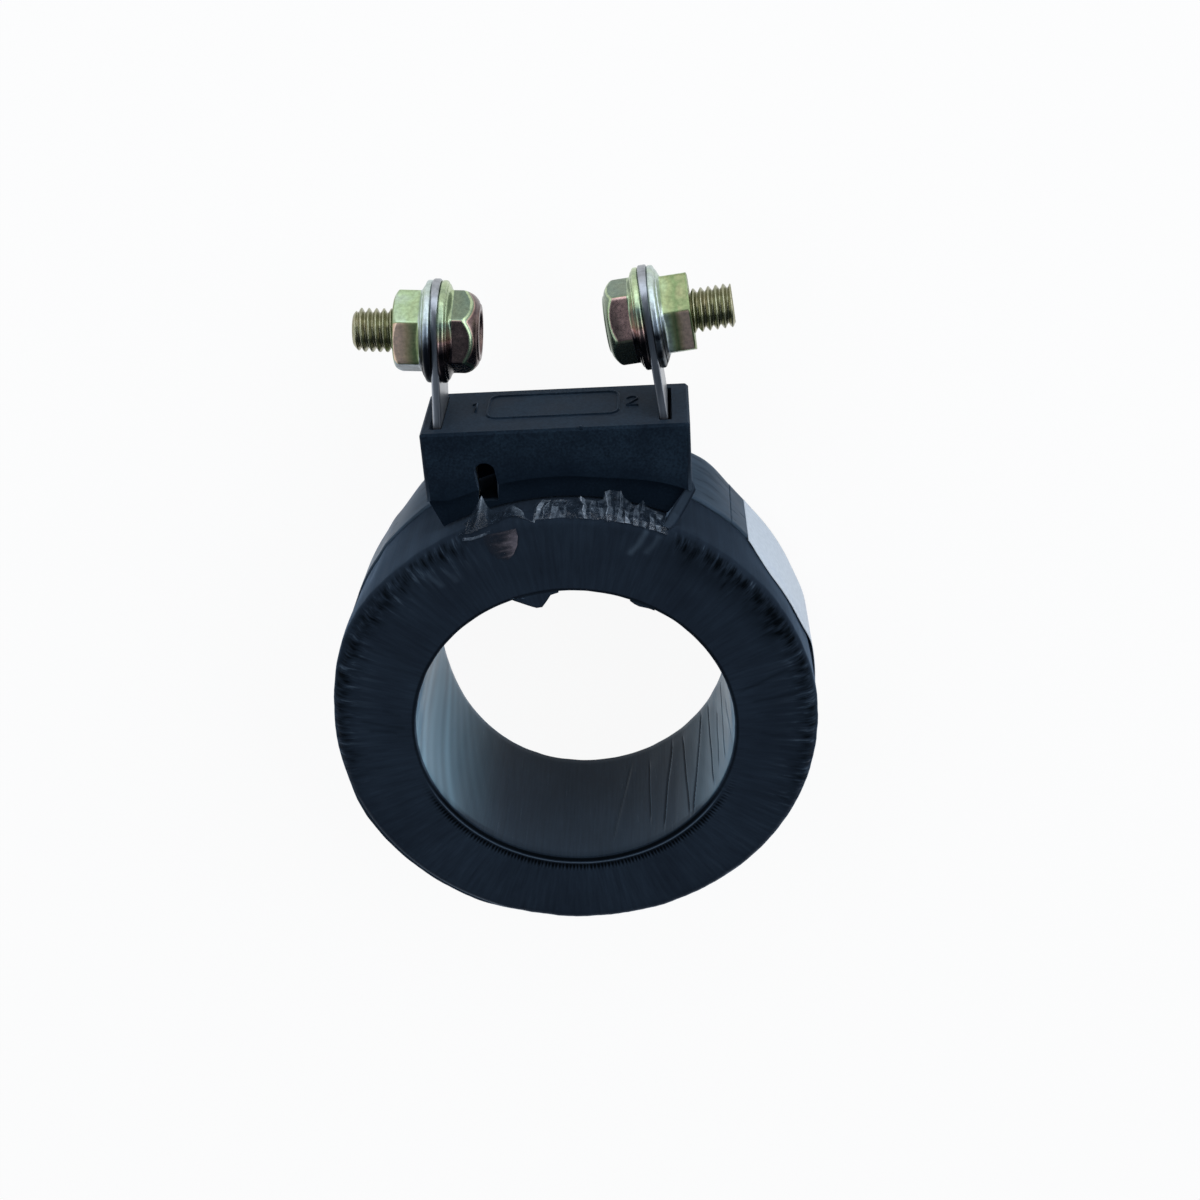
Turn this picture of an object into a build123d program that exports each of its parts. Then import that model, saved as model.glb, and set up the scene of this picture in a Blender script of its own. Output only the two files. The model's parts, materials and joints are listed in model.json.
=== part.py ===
from build123d import *
import os
from math import cos, radians, sin, sqrt, tan

# Window current transformer: a film-wrapped ring with a moulded terminal saddle on its rim.
# The window's axis is Z and its middle is the origin. Y points at the saddle, and the ring
# lies on its back face, the lowest Z.

os.makedirs("parts", exist_ok=True)

# ring: its window, and the core that the layers go round
window_radius = 23.0
core_build = 6.6
core_width = 21.2
body_corner = 1.8
window_corner = 0.5

# layers on the core, each on all four sides of its section
core_insulation = 0.8
winding_build = 1.1
ridge_height = 0.45
under_wrap_thickness = 0.4
wrap_thickness = 0.5
winding_turns = 28
wire_radius = 0.55

# band and label on the rim
band_thickness = 0.3
band_back_margin = 1.4
band_width = 12.2
label_thickness = 0.12
label_back_margin = 2.0
label_width = 16.4
label_start_angle = -10.0
label_end_angle = 44.5

# terminal block
block_length = 36.3
block_depth = 14.6
block_rise = 10.4
block_middle_z = 2.5
block_edge = 0.35
block_corner = 0.6
foot_half_length = 16.3
arch_height = 5.0
arch_recess = 1.2
top_wall = 1.5
pocket_length = 9.0
pocket_depth = 10.6
pocket_end_gap = 0.3
notch_width = 2.8
notch_x = 9.8
notch_rise = 1.2

# terminal lugs, 1 on the left and 2 on the right; the insets are from the block's ends
left_lug_inset = 2.25
right_lug_inset = 3.45
left_lean = 4.2
right_lean = 6.6
left_stud_height = 11.8
right_stud_height = 12.4
lug_thickness = 1.1
lug_width = 10.4
lug_end_margin = 7.1
lug_hole_radius = 3.3
shoulder_width = 12.8
shoulder_depth = 5.9
socket_clearance = 0.05
slot_inner_gap = 0.1
slot_outer_gap = 0.5
slot_end_gap = 0.4

# flange bolts and nuts, M6
thread_radius = 2.94
engaged_radius = 2.66
shank_length = 11.8
tip_chamfer = 0.5
across_flats = 10.0
flange_radius = 6.8
flange_thickness = 0.9
flange_rise = 0.6
flange_neck_radius = 5.2
head_height = 5.2
crown_radius = 4.0
crown_height = 1.3
crown_fullness = 0.7
dish_radius = 3.3
dish_depth = 0.5
nut_height = 5.1
nut_face_radius = 5.0
nut_chamfer = 0.4
nut_clearance = 0.04
left_head_turn = 35.0
right_head_turn = 54.0
left_nut_turn = 31.0
right_nut_turn = 22.0

# lead ends of the winding
lead_setback = 3.4
lead_drop = 3.8
lead_bend = 1.4
sleeve_thickness = 0.35
sleeve_foot_gap = 0.2
sleeve_top_gap = 0.3
solder_radius = 1.5
solder_top_radius = 0.8
solder_length = 0.9

# depths below the ring's surface where one layer ends and the next begins
wrap_depth = wrap_thickness
under_wrap_depth = wrap_depth + under_wrap_thickness
ridge_depth = under_wrap_depth + ridge_height
winding_depth = under_wrap_depth + winding_build
core_depth = winding_depth + core_insulation

# places worked out from the sizes above
body_radius = window_radius + core_build + 2 * core_depth
body_width = core_width + 2 * core_depth
body_back_z = -body_width / 2
band_back_z = body_back_z + band_back_margin
label_back_z = body_back_z + label_back_margin
band_radius = body_radius + band_thickness
arch_radius = body_radius + arch_height
block_front_z = block_middle_z + block_depth / 2
block_back_z = block_middle_z - block_depth / 2
block_top_y = band_radius + block_rise
ceiling_y = block_top_y - top_wall
root_y = ceiling_y - shoulder_depth
lead_rise_y = ceiling_y - lead_drop
notch_top_y = arch_radius + notch_rise
shoulder_y = sqrt(arch_radius**2 - (block_length / 2) ** 2)
foot_y = sqrt(band_radius**2 - foot_half_length**2)
side_wall = (block_depth - pocket_depth) / 2
corner_radius = across_flats / 2 / cos(radians(30))
sleeve_radius = wire_radius + sleeve_thickness

# the same values by terminal number
lug_x = {1: left_lug_inset - block_length / 2, 2: block_length / 2 - right_lug_inset}
lug_lean = {1: left_lean, 2: right_lean}
stud_height = {1: left_stud_height, 2: right_stud_height}
head_turn = {1: left_head_turn, 2: right_head_turn}
nut_turn = {1: left_nut_turn, 2: right_nut_turn}


def side_of(number):
    """-1 for the left terminal, 1 for the right one."""
    return -1 if lug_x[number] < 0 else 1


def lead_x(number):
    return lug_x[number] - side_of(number) * lead_setback


def lug_plane(number, height, out):
    """Plane across a stud, on its axis: height up the leaning blade, out from its mid-plane."""
    lean = radians(lug_lean[number])
    side = side_of(number)
    outward = Vector(side * cos(lean), sin(lean), 0)
    upward = Vector(-side * sin(lean), cos(lean), 0)
    foot = Vector(lug_x[number], block_top_y, block_middle_z)
    return Plane(foot + upward * height + outward * out, x_dir=(0, 0, 1), z_dir=outward)


def profile_plane(seat):
    """Plane through a seat's normal, with that normal as its Y."""
    return Plane(seat.origin, x_dir=seat.x_dir, z_dir=-seat.y_dir)


def hex_angle(number, turn):
    """Turn of a corner from the front towards the top, as the seat plane measures it."""
    return -side_of(number) * turn


def ring_solid(depth, mode, ease=fillet):
    """Ring at a depth below the surface, combined with the part being built."""
    inner = window_radius + depth
    outer = body_radius - depth
    with BuildSketch(Plane.XZ) as section:
        with Locations(((inner + outer) / 2, 0)):
            block = Rectangle(outer - inner, body_width - 2 * depth)
        if depth < body_corner:
            ease(block.vertices().group_by(Axis.X)[-1], body_corner - depth)
        if depth < window_corner:
            corners = [v for v in block.vertices() if abs(v.X - inner) < window_corner / 2]
            ease(corners, window_corner - depth)
    revolve(section.sketch, axis=Axis.Z, mode=mode)


def ring_shell(outer_depth, inner_depth):
    """Hollow ring between two depths, pierced where the two lead ends come out of the rim."""
    with BuildPart() as shell:
        ring_solid(outer_depth, Mode.ADD)
        ring_solid(inner_depth, Mode.SUBTRACT)
        with BuildSketch(Plane.XZ):
            with Locations((lead_x(1), block_middle_z), (lead_x(2), block_middle_z)):
                Circle(wire_radius)
        extrude(amount=-body_radius, mode=Mode.SUBTRACT)
    return shell.part


def flat_ring(inner, outer, low_z, high_z):
    """Plain ring with a rectangular section."""
    with BuildPart() as ring:
        with BuildSketch(Plane.XY.offset(low_z)):
            Circle(outer)
            Circle(inner, mode=Mode.SUBTRACT)
        extrude(amount=high_z - low_z)
    return ring.part


def terminal_lug(number):
    """Tinned strip: shouldered root in the block, a bend at its top, and a blade with a hole."""
    side = side_of(number)
    lean = radians(lug_lean[number])
    half = lug_thickness / 2
    mitre = half * tan(lean / 2)
    length = stud_height[number] + lug_end_margin
    straight = length - lug_width / 2
    outward = Vector(side * cos(lean), sin(lean), 0)
    upward = Vector(-side * sin(lean), cos(lean), 0)
    bend = Vector(lug_x[number], block_top_y, 0)
    tip = bend + upward * length
    tip_out = tip + outward * half
    tip_in = tip - outward * half
    face_out = lug_x[number] + side * half
    face_in = lug_x[number] - side * half
    blade_plane = lug_plane(number, 0, 0)
    up_sign = -side
    with BuildPart() as lug:
        with BuildSketch(Plane.XY.offset(block_middle_z - lug_width / 2)):
            with BuildLine():
                Polyline(
                    (face_out, root_y),
                    (face_out, block_top_y + mitre),
                    (tip_out.X, tip_out.Y),
                    (tip_in.X, tip_in.Y),
                    (face_in, block_top_y - mitre),
                    (face_in, root_y),
                    close=True,
                )
            make_face()
        extrude(amount=lug_width)
        with BuildSketch(blade_plane):
            with Locations((0, up_sign * straight)):
                Circle(lug_width / 2)
            with Locations((0, up_sign * (straight - length) / 2)):
                Rectangle(lug_width, straight + length)
        extrude(amount=lug_thickness, both=True, mode=Mode.INTERSECT)
        with BuildSketch(lug_plane(number, stud_height[number], 0)):
            Circle(lug_hole_radius)
        extrude(amount=lug_thickness, both=True, mode=Mode.SUBTRACT)
        with BuildSketch(Plane.YZ.offset(lug_x[number] - half)):
            with Locations(((root_y + ceiling_y) / 2, block_middle_z)):
                Rectangle(shoulder_depth, shoulder_width)
        extrude(amount=lug_thickness)
    return lug.part


def draw_flange(direction):
    """Half section of a flange with a sloping back, from the seat towards +Y (1) or -Y (-1)."""
    with BuildLine() as outline:
        Polyline(
            (0, 0),
            (flange_radius, 0),
            (flange_radius, direction * flange_thickness),
            (flange_neck_radius, direction * (flange_thickness + flange_rise)),
            (0, direction * (flange_thickness + flange_rise)),
            close=True,
        )
    make_face(outline.edges())


def flange_bolt(number):
    """Hexagon flange bolt: head on the lug's inner face, shank out through lug and nut."""
    seat = lug_plane(number, stud_height[number], -lug_thickness / 2)
    axis = Axis(seat.origin, seat.z_dir)
    crown_y = head_height - crown_height
    crown_middle = crown_radius + crown_fullness * (corner_radius - crown_radius)
    grip = lug_thickness + nut_height
    with BuildPart() as bolt:
        with BuildSketch(seat):
            RegularPolygon(
                across_flats / 2, 6, major_radius=False, rotation=hex_angle(number, head_turn[number])
            )
        extrude(amount=-head_height)
        with BuildSketch(profile_plane(seat)):
            with BuildLine():
                Polyline((0, -head_height), (0, 0), (corner_radius, 0), (corner_radius, -crown_y))
                ThreePointArc(
                    (corner_radius, -crown_y),
                    (crown_middle, -crown_y - crown_fullness * crown_height),
                    (crown_radius, -head_height),
                )
                Line((crown_radius, -head_height), (0, -head_height))
            make_face()
        revolve(axis=axis, mode=Mode.INTERSECT)
        with BuildSketch(profile_plane(seat)):
            draw_flange(-1)
        revolve(axis=axis)
        with BuildSketch(seat.offset(-head_height)):
            Circle(dish_radius)
        extrude(amount=dish_depth, taper=45, mode=Mode.SUBTRACT)
        with BuildSketch(seat):
            Circle(engaged_radius)
        extrude(amount=grip)
        with BuildSketch(seat.offset(grip)):
            Circle(thread_radius)
        extrude(amount=shank_length - grip)
        tip = bolt.faces().sort_by(axis)[-1]
        chamfer(tip.edges(), tip_chamfer)
    return bolt.part


def flange_nut(number):
    """Hexagon flange nut on the lug's outer face, bored for the bolt's engaged thread."""
    seat = lug_plane(number, stud_height[number], lug_thickness / 2)
    axis = Axis(seat.origin, seat.z_dir)
    with BuildPart() as nut:
        with BuildSketch(seat):
            RegularPolygon(
                across_flats / 2, 6, major_radius=False, rotation=hex_angle(number, nut_turn[number])
            )
        extrude(amount=nut_height)
        with BuildSketch(profile_plane(seat)):
            with BuildLine():
                Polyline(
                    (0, 0),
                    (corner_radius, 0),
                    (corner_radius, nut_height - nut_chamfer),
                    (nut_face_radius, nut_height),
                    (0, nut_height),
                    close=True,
                )
            make_face()
        revolve(axis=axis, mode=Mode.INTERSECT)
        with BuildSketch(profile_plane(seat)):
            draw_flange(1)
        revolve(axis=axis)
        with BuildSketch(seat):
            Circle(engaged_radius + nut_clearance)
        extrude(amount=nut_height, mode=Mode.SUBTRACT)
    return nut.part


def lead_sleeve(number):
    """Insulating tube on a lead end, from the rim up to the lead's bend."""
    near_x = abs(lead_x(number)) - sleeve_radius
    foot = sqrt(body_radius**2 - near_x**2) + sleeve_foot_gap
    top = lead_rise_y - lead_bend - sleeve_top_gap
    with BuildPart() as sleeve:
        with BuildSketch(Plane.XZ.offset(-foot)):
            with Locations((lead_x(number), block_middle_z)):
                Circle(sleeve_radius)
                Circle(wire_radius, mode=Mode.SUBTRACT)
        extrude(amount=foot - top)
    return sleeve.part


def solder_joint(number):
    """Cone of solder round a lead's end, on the inner face of the lug's root."""
    side = side_of(number)
    face_x = lug_x[number] - side * lug_thickness / 2
    seat = Plane((face_x, lead_rise_y, block_middle_z), x_dir=(0, 0, 1), z_dir=(-side, 0, 0))
    with BuildPart() as joint:
        with BuildSketch(profile_plane(seat)):
            with BuildLine():
                Polyline(
                    (wire_radius, 0),
                    (solder_radius, 0),
                    (solder_top_radius, solder_length),
                    (wire_radius, solder_length),
                    close=True,
                )
            make_face()
        revolve(axis=Axis(seat.origin, seat.z_dir))
    return joint.part


# core: one strip of steel rolled up, closed in insulation on all four sides
core_inner = window_radius + core_depth
core_outer = body_radius - core_depth
core_half = body_width / 2 - core_depth
collar_half = core_half + core_insulation
core = flat_ring(core_inner, core_outer, -core_half, core_half)
core_liner_inner = flat_ring(core_inner - core_insulation, core_inner, -core_half, core_half)
core_liner_outer = flat_ring(core_outer, core_outer + core_insulation, -core_half, core_half)
collar_inner = core_inner - core_insulation
collar_outer = core_outer + core_insulation
core_collar_front = flat_ring(collar_inner, collar_outer, core_half, collar_half)
core_collar_back = flat_ring(collar_inner, collar_outer, -collar_half, -core_half)

# secondary winding: turns round the core's section as raised bars, and two lead ends
with BuildPart() as secondary_winding:
    with BuildSketch(Plane.XY.offset(-body_width / 2)):
        with PolarLocations((window_radius + body_radius) / 2, winding_turns):
            Rectangle(body_radius - window_radius, 2 * wire_radius)
    extrude(amount=body_width)
    ring_solid(under_wrap_depth, Mode.INTERSECT, chamfer)
    ring_solid(ridge_depth, Mode.ADD, chamfer)
    ring_solid(winding_depth, Mode.SUBTRACT)
    for number in lug_x:
        start_y = sqrt((body_radius - (ridge_depth + winding_depth) / 2) ** 2 - lead_x(number) ** 2)
        end_x = lug_x[number] - side_of(number) * lug_thickness / 2
        with BuildLine(Plane.XY.offset(block_middle_z)) as route:
            FilletPolyline(
                (lead_x(number), start_y),
                (lead_x(number), lead_rise_y),
                (end_x, lead_rise_y),
                radius=lead_bend,
            )
        with BuildSketch(Plane(route.line @ 0, z_dir=route.line % 0)):
            Circle(wire_radius)
        sweep(path=route.line)

# insulating tape over the winding, black film over the tape
winding_wrap = ring_shell(wrap_depth, under_wrap_depth)
outer_wrap = ring_shell(0, wrap_depth)

# band round the rear half of the rim
rim_band = flat_ring(body_radius, band_radius, band_back_z, band_back_z + band_width)

# label stuck on the band, standing clear of the film in front of the band
with BuildPart() as rating_label:
    start = radians(label_start_angle)
    across = Vector(cos(start), sin(start), 0)
    with BuildSketch(Plane((0, 0, 0), x_dir=across, z_dir=across.cross(Vector(0, 0, 1)))):
        with Locations((band_radius + label_thickness / 2, label_back_z + label_width / 2)):
            Rectangle(label_thickness, label_width)
    revolve(axis=Axis.Z, revolution_arc=label_end_angle - label_start_angle)

# terminal block: a box on a saddle, with an arch cut back under its front and back faces
with BuildPart() as terminal_block:
    with BuildSketch(Plane.XY.offset(block_back_z)):
        with BuildLine():
            Polyline(
                (foot_half_length, foot_y),
                (block_length / 2, shoulder_y),
                (block_length / 2, block_top_y),
                (-block_length / 2, block_top_y),
                (-block_length / 2, shoulder_y),
                (-foot_half_length, foot_y),
            )
            ThreePointArc((-foot_half_length, foot_y), (0, band_radius), (foot_half_length, foot_y))
        make_face()
    extrude(amount=block_depth)
    upright = terminal_block.edges().filter_by(Axis.Y)
    fillet(upright, block_corner)
    top_face = terminal_block.faces().sort_by(Axis.Y)[-1]
    chamfer(top_face.edges(), block_edge)
    for face_z, inward in ((block_front_z, -arch_recess), (block_back_z, arch_recess)):
        with BuildSketch(Plane.XY.offset(face_z)):
            Circle(arch_radius)
        extrude(amount=inward, mode=Mode.SUBTRACT)
    for number in lug_x:
        side = side_of(number)
        half = lug_thickness / 2
        pocket_end = lug_x[number] + side * (half + pocket_end_gap)
        with BuildSketch(Plane.XZ.offset(-ceiling_y)):
            with Locations((pocket_end - side * pocket_length / 2, block_middle_z)):
                Rectangle(pocket_length, pocket_depth)
        extrude(amount=ceiling_y - window_radius, mode=Mode.SUBTRACT)
        with BuildSketch(Plane.XZ.offset(-ceiling_y)):
            with Locations((lug_x[number], block_middle_z)):
                Rectangle(lug_thickness + 2 * socket_clearance, shoulder_width + 2 * socket_clearance)
        extrude(amount=shoulder_depth + socket_clearance, mode=Mode.SUBTRACT)
        slot_middle = lug_x[number] + side * (slot_outer_gap - slot_inner_gap) / 2
        with BuildSketch(Plane.XZ.offset(-block_top_y)):
            with Locations((slot_middle, block_middle_z)):
                Rectangle(lug_thickness + slot_inner_gap + slot_outer_gap, lug_width + 2 * slot_end_gap)
        extrude(amount=top_wall, mode=Mode.SUBTRACT)
        notch_face = block_front_z if side < 0 else block_back_z
        notch_round_y = notch_top_y - notch_width / 2
        with BuildSketch(Plane.XY.offset(notch_face)):
            with Locations((side * notch_x, notch_round_y)):
                Circle(notch_width / 2)
            with Locations((side * notch_x, (notch_round_y + body_radius) / 2)):
                Rectangle(notch_width, notch_round_y - body_radius)
        extrude(amount=side * side_wall, mode=Mode.SUBTRACT)

pieces = {
    "core": core,
    "core_liner_inner": core_liner_inner,
    "core_liner_outer": core_liner_outer,
    "core_collar_front": core_collar_front,
    "core_collar_back": core_collar_back,
    "secondary_winding": secondary_winding.part,
    "winding_wrap": winding_wrap,
    "outer_wrap": outer_wrap,
    "rim_band": rim_band,
    "rating_label": rating_label.part,
    "terminal_block": terminal_block.part,
}
for number in lug_x:
    pieces[f"terminal_lug_{number}"] = terminal_lug(number)
    pieces[f"terminal_bolt_{number}"] = flange_bolt(number)
    pieces[f"terminal_nut_{number}"] = flange_nut(number)
    pieces[f"lead_sleeve_{number}"] = lead_sleeve(number)
    pieces[f"solder_joint_{number}"] = solder_joint(number)
for name, piece in pieces.items():
    piece.label = name
    export_step(piece, f"parts/{name}.step")
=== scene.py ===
import bisect, bpy, bmesh, json, random
from functools import partial
from math import cos, dist, exp, hypot, pi, radians, sin, sqrt
from mathutils import Vector, Matrix, noise


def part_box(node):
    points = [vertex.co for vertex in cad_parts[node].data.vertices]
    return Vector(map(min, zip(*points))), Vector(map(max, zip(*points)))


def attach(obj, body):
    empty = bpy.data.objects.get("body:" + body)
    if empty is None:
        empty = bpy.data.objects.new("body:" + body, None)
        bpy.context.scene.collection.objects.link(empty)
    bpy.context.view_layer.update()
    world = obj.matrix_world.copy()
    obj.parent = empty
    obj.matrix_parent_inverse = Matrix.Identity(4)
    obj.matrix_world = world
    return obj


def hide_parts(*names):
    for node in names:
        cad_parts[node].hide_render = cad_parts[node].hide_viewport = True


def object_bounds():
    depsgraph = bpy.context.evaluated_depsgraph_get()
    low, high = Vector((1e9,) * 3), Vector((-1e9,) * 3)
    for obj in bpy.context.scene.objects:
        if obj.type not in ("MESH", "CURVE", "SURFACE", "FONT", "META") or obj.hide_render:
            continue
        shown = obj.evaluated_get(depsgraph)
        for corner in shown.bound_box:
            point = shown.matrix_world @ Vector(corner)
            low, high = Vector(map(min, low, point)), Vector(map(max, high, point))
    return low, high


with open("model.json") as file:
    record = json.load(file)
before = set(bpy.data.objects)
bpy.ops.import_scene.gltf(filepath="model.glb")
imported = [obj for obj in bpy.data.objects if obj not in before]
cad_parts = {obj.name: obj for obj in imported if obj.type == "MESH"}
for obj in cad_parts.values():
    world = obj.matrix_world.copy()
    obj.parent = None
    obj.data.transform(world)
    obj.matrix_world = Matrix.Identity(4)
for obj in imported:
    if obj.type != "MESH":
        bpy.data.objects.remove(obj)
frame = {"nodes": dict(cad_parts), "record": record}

# Window current transformer lying on its back face. X runs along the terminal block, Y from
# the window to the block, Z up through the window. Meshes are made in metres.
mm, degree = 0.001, 180 / pi  # in metres, and degrees in a radian
cadBox = [list(corner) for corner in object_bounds()]
nodes = frame["nodes"]
mounts = {mount["name"]: mount for mount in frame["record"]["mounts"]}
print("frame loaded,", len(nodes), "nodes")


def linearColour(hexText):  # sRGB hex to the linear values that shaders take
    channels = [int(hexText[i:i + 2], 16) / 255 for i in (1, 3, 5)]
    return (*[c / 12.92 if c <= 0.04045 else ((c + 0.055) / 1.055) ** 2.4 for c in channels], 1.0)


def fillSockets(node, values):
    # links a node or a socket, and sets a number or a colour, by name or in the sockets' order
    for socket, value in values.items() if isinstance(values, dict) else enumerate(values):
        if isinstance(value, bpy.types.Node):
            value = value.outputs[0]
        if isinstance(value, bpy.types.NodeSocket):
            node.id_data.links.new(value, node.inputs[socket])
        else:
            node.inputs[socket].default_value = linearColour(value) if isinstance(value, str) else value


def addNode(tree, kind, inputs=(), stops=(), **settings):
    # one shader node with its settings, its sockets and the stops of its colour ramp
    node = tree.nodes.new("ShaderNode" + kind)
    for key, value in settings.items():
        setattr(node, key, value)
    fillSockets(node, inputs)
    for extra in range(2, len(stops)):
        node.color_ramp.elements.new(0.5)
    for stop, (place, colour) in enumerate(stops):
        node.color_ramp.elements[stop].position = place
        node.color_ramp.elements[stop].color = linearColour(colour)
    return node


def newMaterial(name):
    # a material, its surface shader, the place on the object that patterns use, and the
    # function that adds its nodes
    material = bpy.data.materials.new(name)
    material.use_nodes = True
    add = partial(addNode, material.node_tree)
    return material, material.node_tree.nodes["Principled BSDF"], add("TexCoord").outputs["Object"], add


def link(name, data):
    thing = bpy.data.objects.new(name, data)
    bpy.context.scene.collection.objects.link(thing)
    return thing


def settle(piece, replaced):
    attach(piece, "root")
    if replaced:
        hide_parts(*replaced)


def makePiece(name, verts, faces, material, slotName, replaced=(), **marks):
    # a mesh on the part's body; marks are the values that its material reads at each point
    mesh = bpy.data.meshes.new(name)
    mesh.from_pydata([tuple(v) for v in verts], [], faces)
    mesh.validate()
    bm = bmesh.new()
    bm.from_mesh(mesh)
    bmesh.ops.recalc_face_normals(bm, faces=bm.faces)
    bm.to_mesh(mesh)
    bm.free()
    mesh.polygons.foreach_set("use_smooth", [True] * len(mesh.polygons))
    mesh.materials.append(material)
    for key, values in marks.items():
        mesh.attributes.new(key, "FLOAT", "POINT").data.foreach_set("value", values)
    piece = link(name, mesh)
    settle(piece, replaced)
    return piece


def mix(a, b, t):
    return a + (b - a) * t


def smoothStep(low, high, value):
    t = min(1.0, max(0.0, (value - low) / (high - low)))
    return t * t * (3 - 2 * t)


def plateau(low, high, highEnd, lowEnd, value):  # up from low to high, down to lowEnd
    return smoothStep(low, high, value) * (1 - smoothStep(highEnd, lowEnd, value))


def bell(value, width):
    return exp(-(value / width) ** 2)


def waver(x, y, z):
    return noise.noise(Vector((x, y, z)))


def softMin(a, b, reach):
    h = max(0.0, 1 - abs(a - b) / reach)
    return min(a, b) - h * h * reach / 4


def softMax(a, b, reach):
    return -softMin(-a, -b, reach)


def onRing(degrees, radius, z):  # a point in metres, from its angle and its mm
    return (radius * cos(radians(degrees)) * mm, radius * sin(radians(degrees)) * mm, z * mm)


def joinRows(start, rows, size, closedRows=True, closedRow=True):
    # quads between rows of points, each row with size points
    faces = []
    for row in range(rows if closedRows else rows - 1):
        a, b = start + row * size, start + (row + 1) % rows * size
        for i in range(size if closedRow else size - 1):
            j = (i + 1) % size
            faces.append((a + i, b + i, b + j, a + j))
    return faces


def sheetFaces(columns, rows):
    # both sides of a sheet, one layer of points after the other, and its edge all round
    layer = (columns + 1) * (rows + 1)
    faces = []
    for a, b, c, d in joinRows(0, columns + 1, rows + 1, False, False):
        faces += [(a, b, c, d), (layer + a, layer + d, layer + c, layer + b)]
    border = [i * (rows + 1) for i in range(columns)] + [columns * (rows + 1) + j for j in range(rows)]
    border += [i * (rows + 1) + rows for i in range(columns, 0, -1)] + list(range(rows, 0, -1))
    return faces + [(a, b, layer + b, layer + a) for a, b in zip(border, border[1:] + border[:1])]


def skin(ior, level, sheen, sheenRoughness, sheenTint="#a9c6e4"):
    # what black plastic shows at its surface: a bluish gleam and a pale sheen at grazing angles
    return {"IOR": ior, "Specular IOR Level": level, "Specular Tint": "#a9c6e4", "Sheen Weight": sheen,
            "Sheen Roughness": sheenRoughness, "Sheen Tint": sheenTint}


# Polyester film tape, calendered black and wound by hand: a satin skin, blue-black, with
# faint streaks along the way that the tape was pulled. Grazing light greys it, so the sheen
# is pale blue. Patterns have their size round the ring, along its radius and along its axis.
filmLook = {
    # ridge is a painted highlight colour, hollow a painted shade colour, and the pale colour for the window a
    # painted grazing reflection
    "dark": "#1a212a", "light": "#242e39", "ridge": "#4c5a67", "hollow": "#05080b", "paintedWindowSheen": "#7da0b0",
    "turnRadius": 34.5, "streakMm": (0.6325, 5.5556, 8.3333), "cellMm": (0.95, 2.5, 2.5),
    "fringeMm": (0.3, 2.6, 2.6),
    # ticks round the window's front edge: their number, bend and radii, and the lip inside them; the band of
    # ticks and the lip get painted shade
    "tickCount": 290, "tickBend": 7.0, "tickEdges": ((24.0, 24.35), (25.4, 24.7)),
    "lipEdges": ((23.1, 23.3), (23.75, 23.5)),
    # drawn tight and smooth inside the window, hand-smoothed and a little hazy elsewhere
    "roughness": {"wound": 0.34, "rim": 0.42, "smooth": 0.2},
    "shader": {"wound": skin(1.2, 0.05, 0.55, 0.28), "rim": skin(1.12, 0.01, 0.5, 0.3),
               "smooth": skin(1.38, 0.1, 0.8, 0.36, "#8fbfdf")},
}


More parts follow.
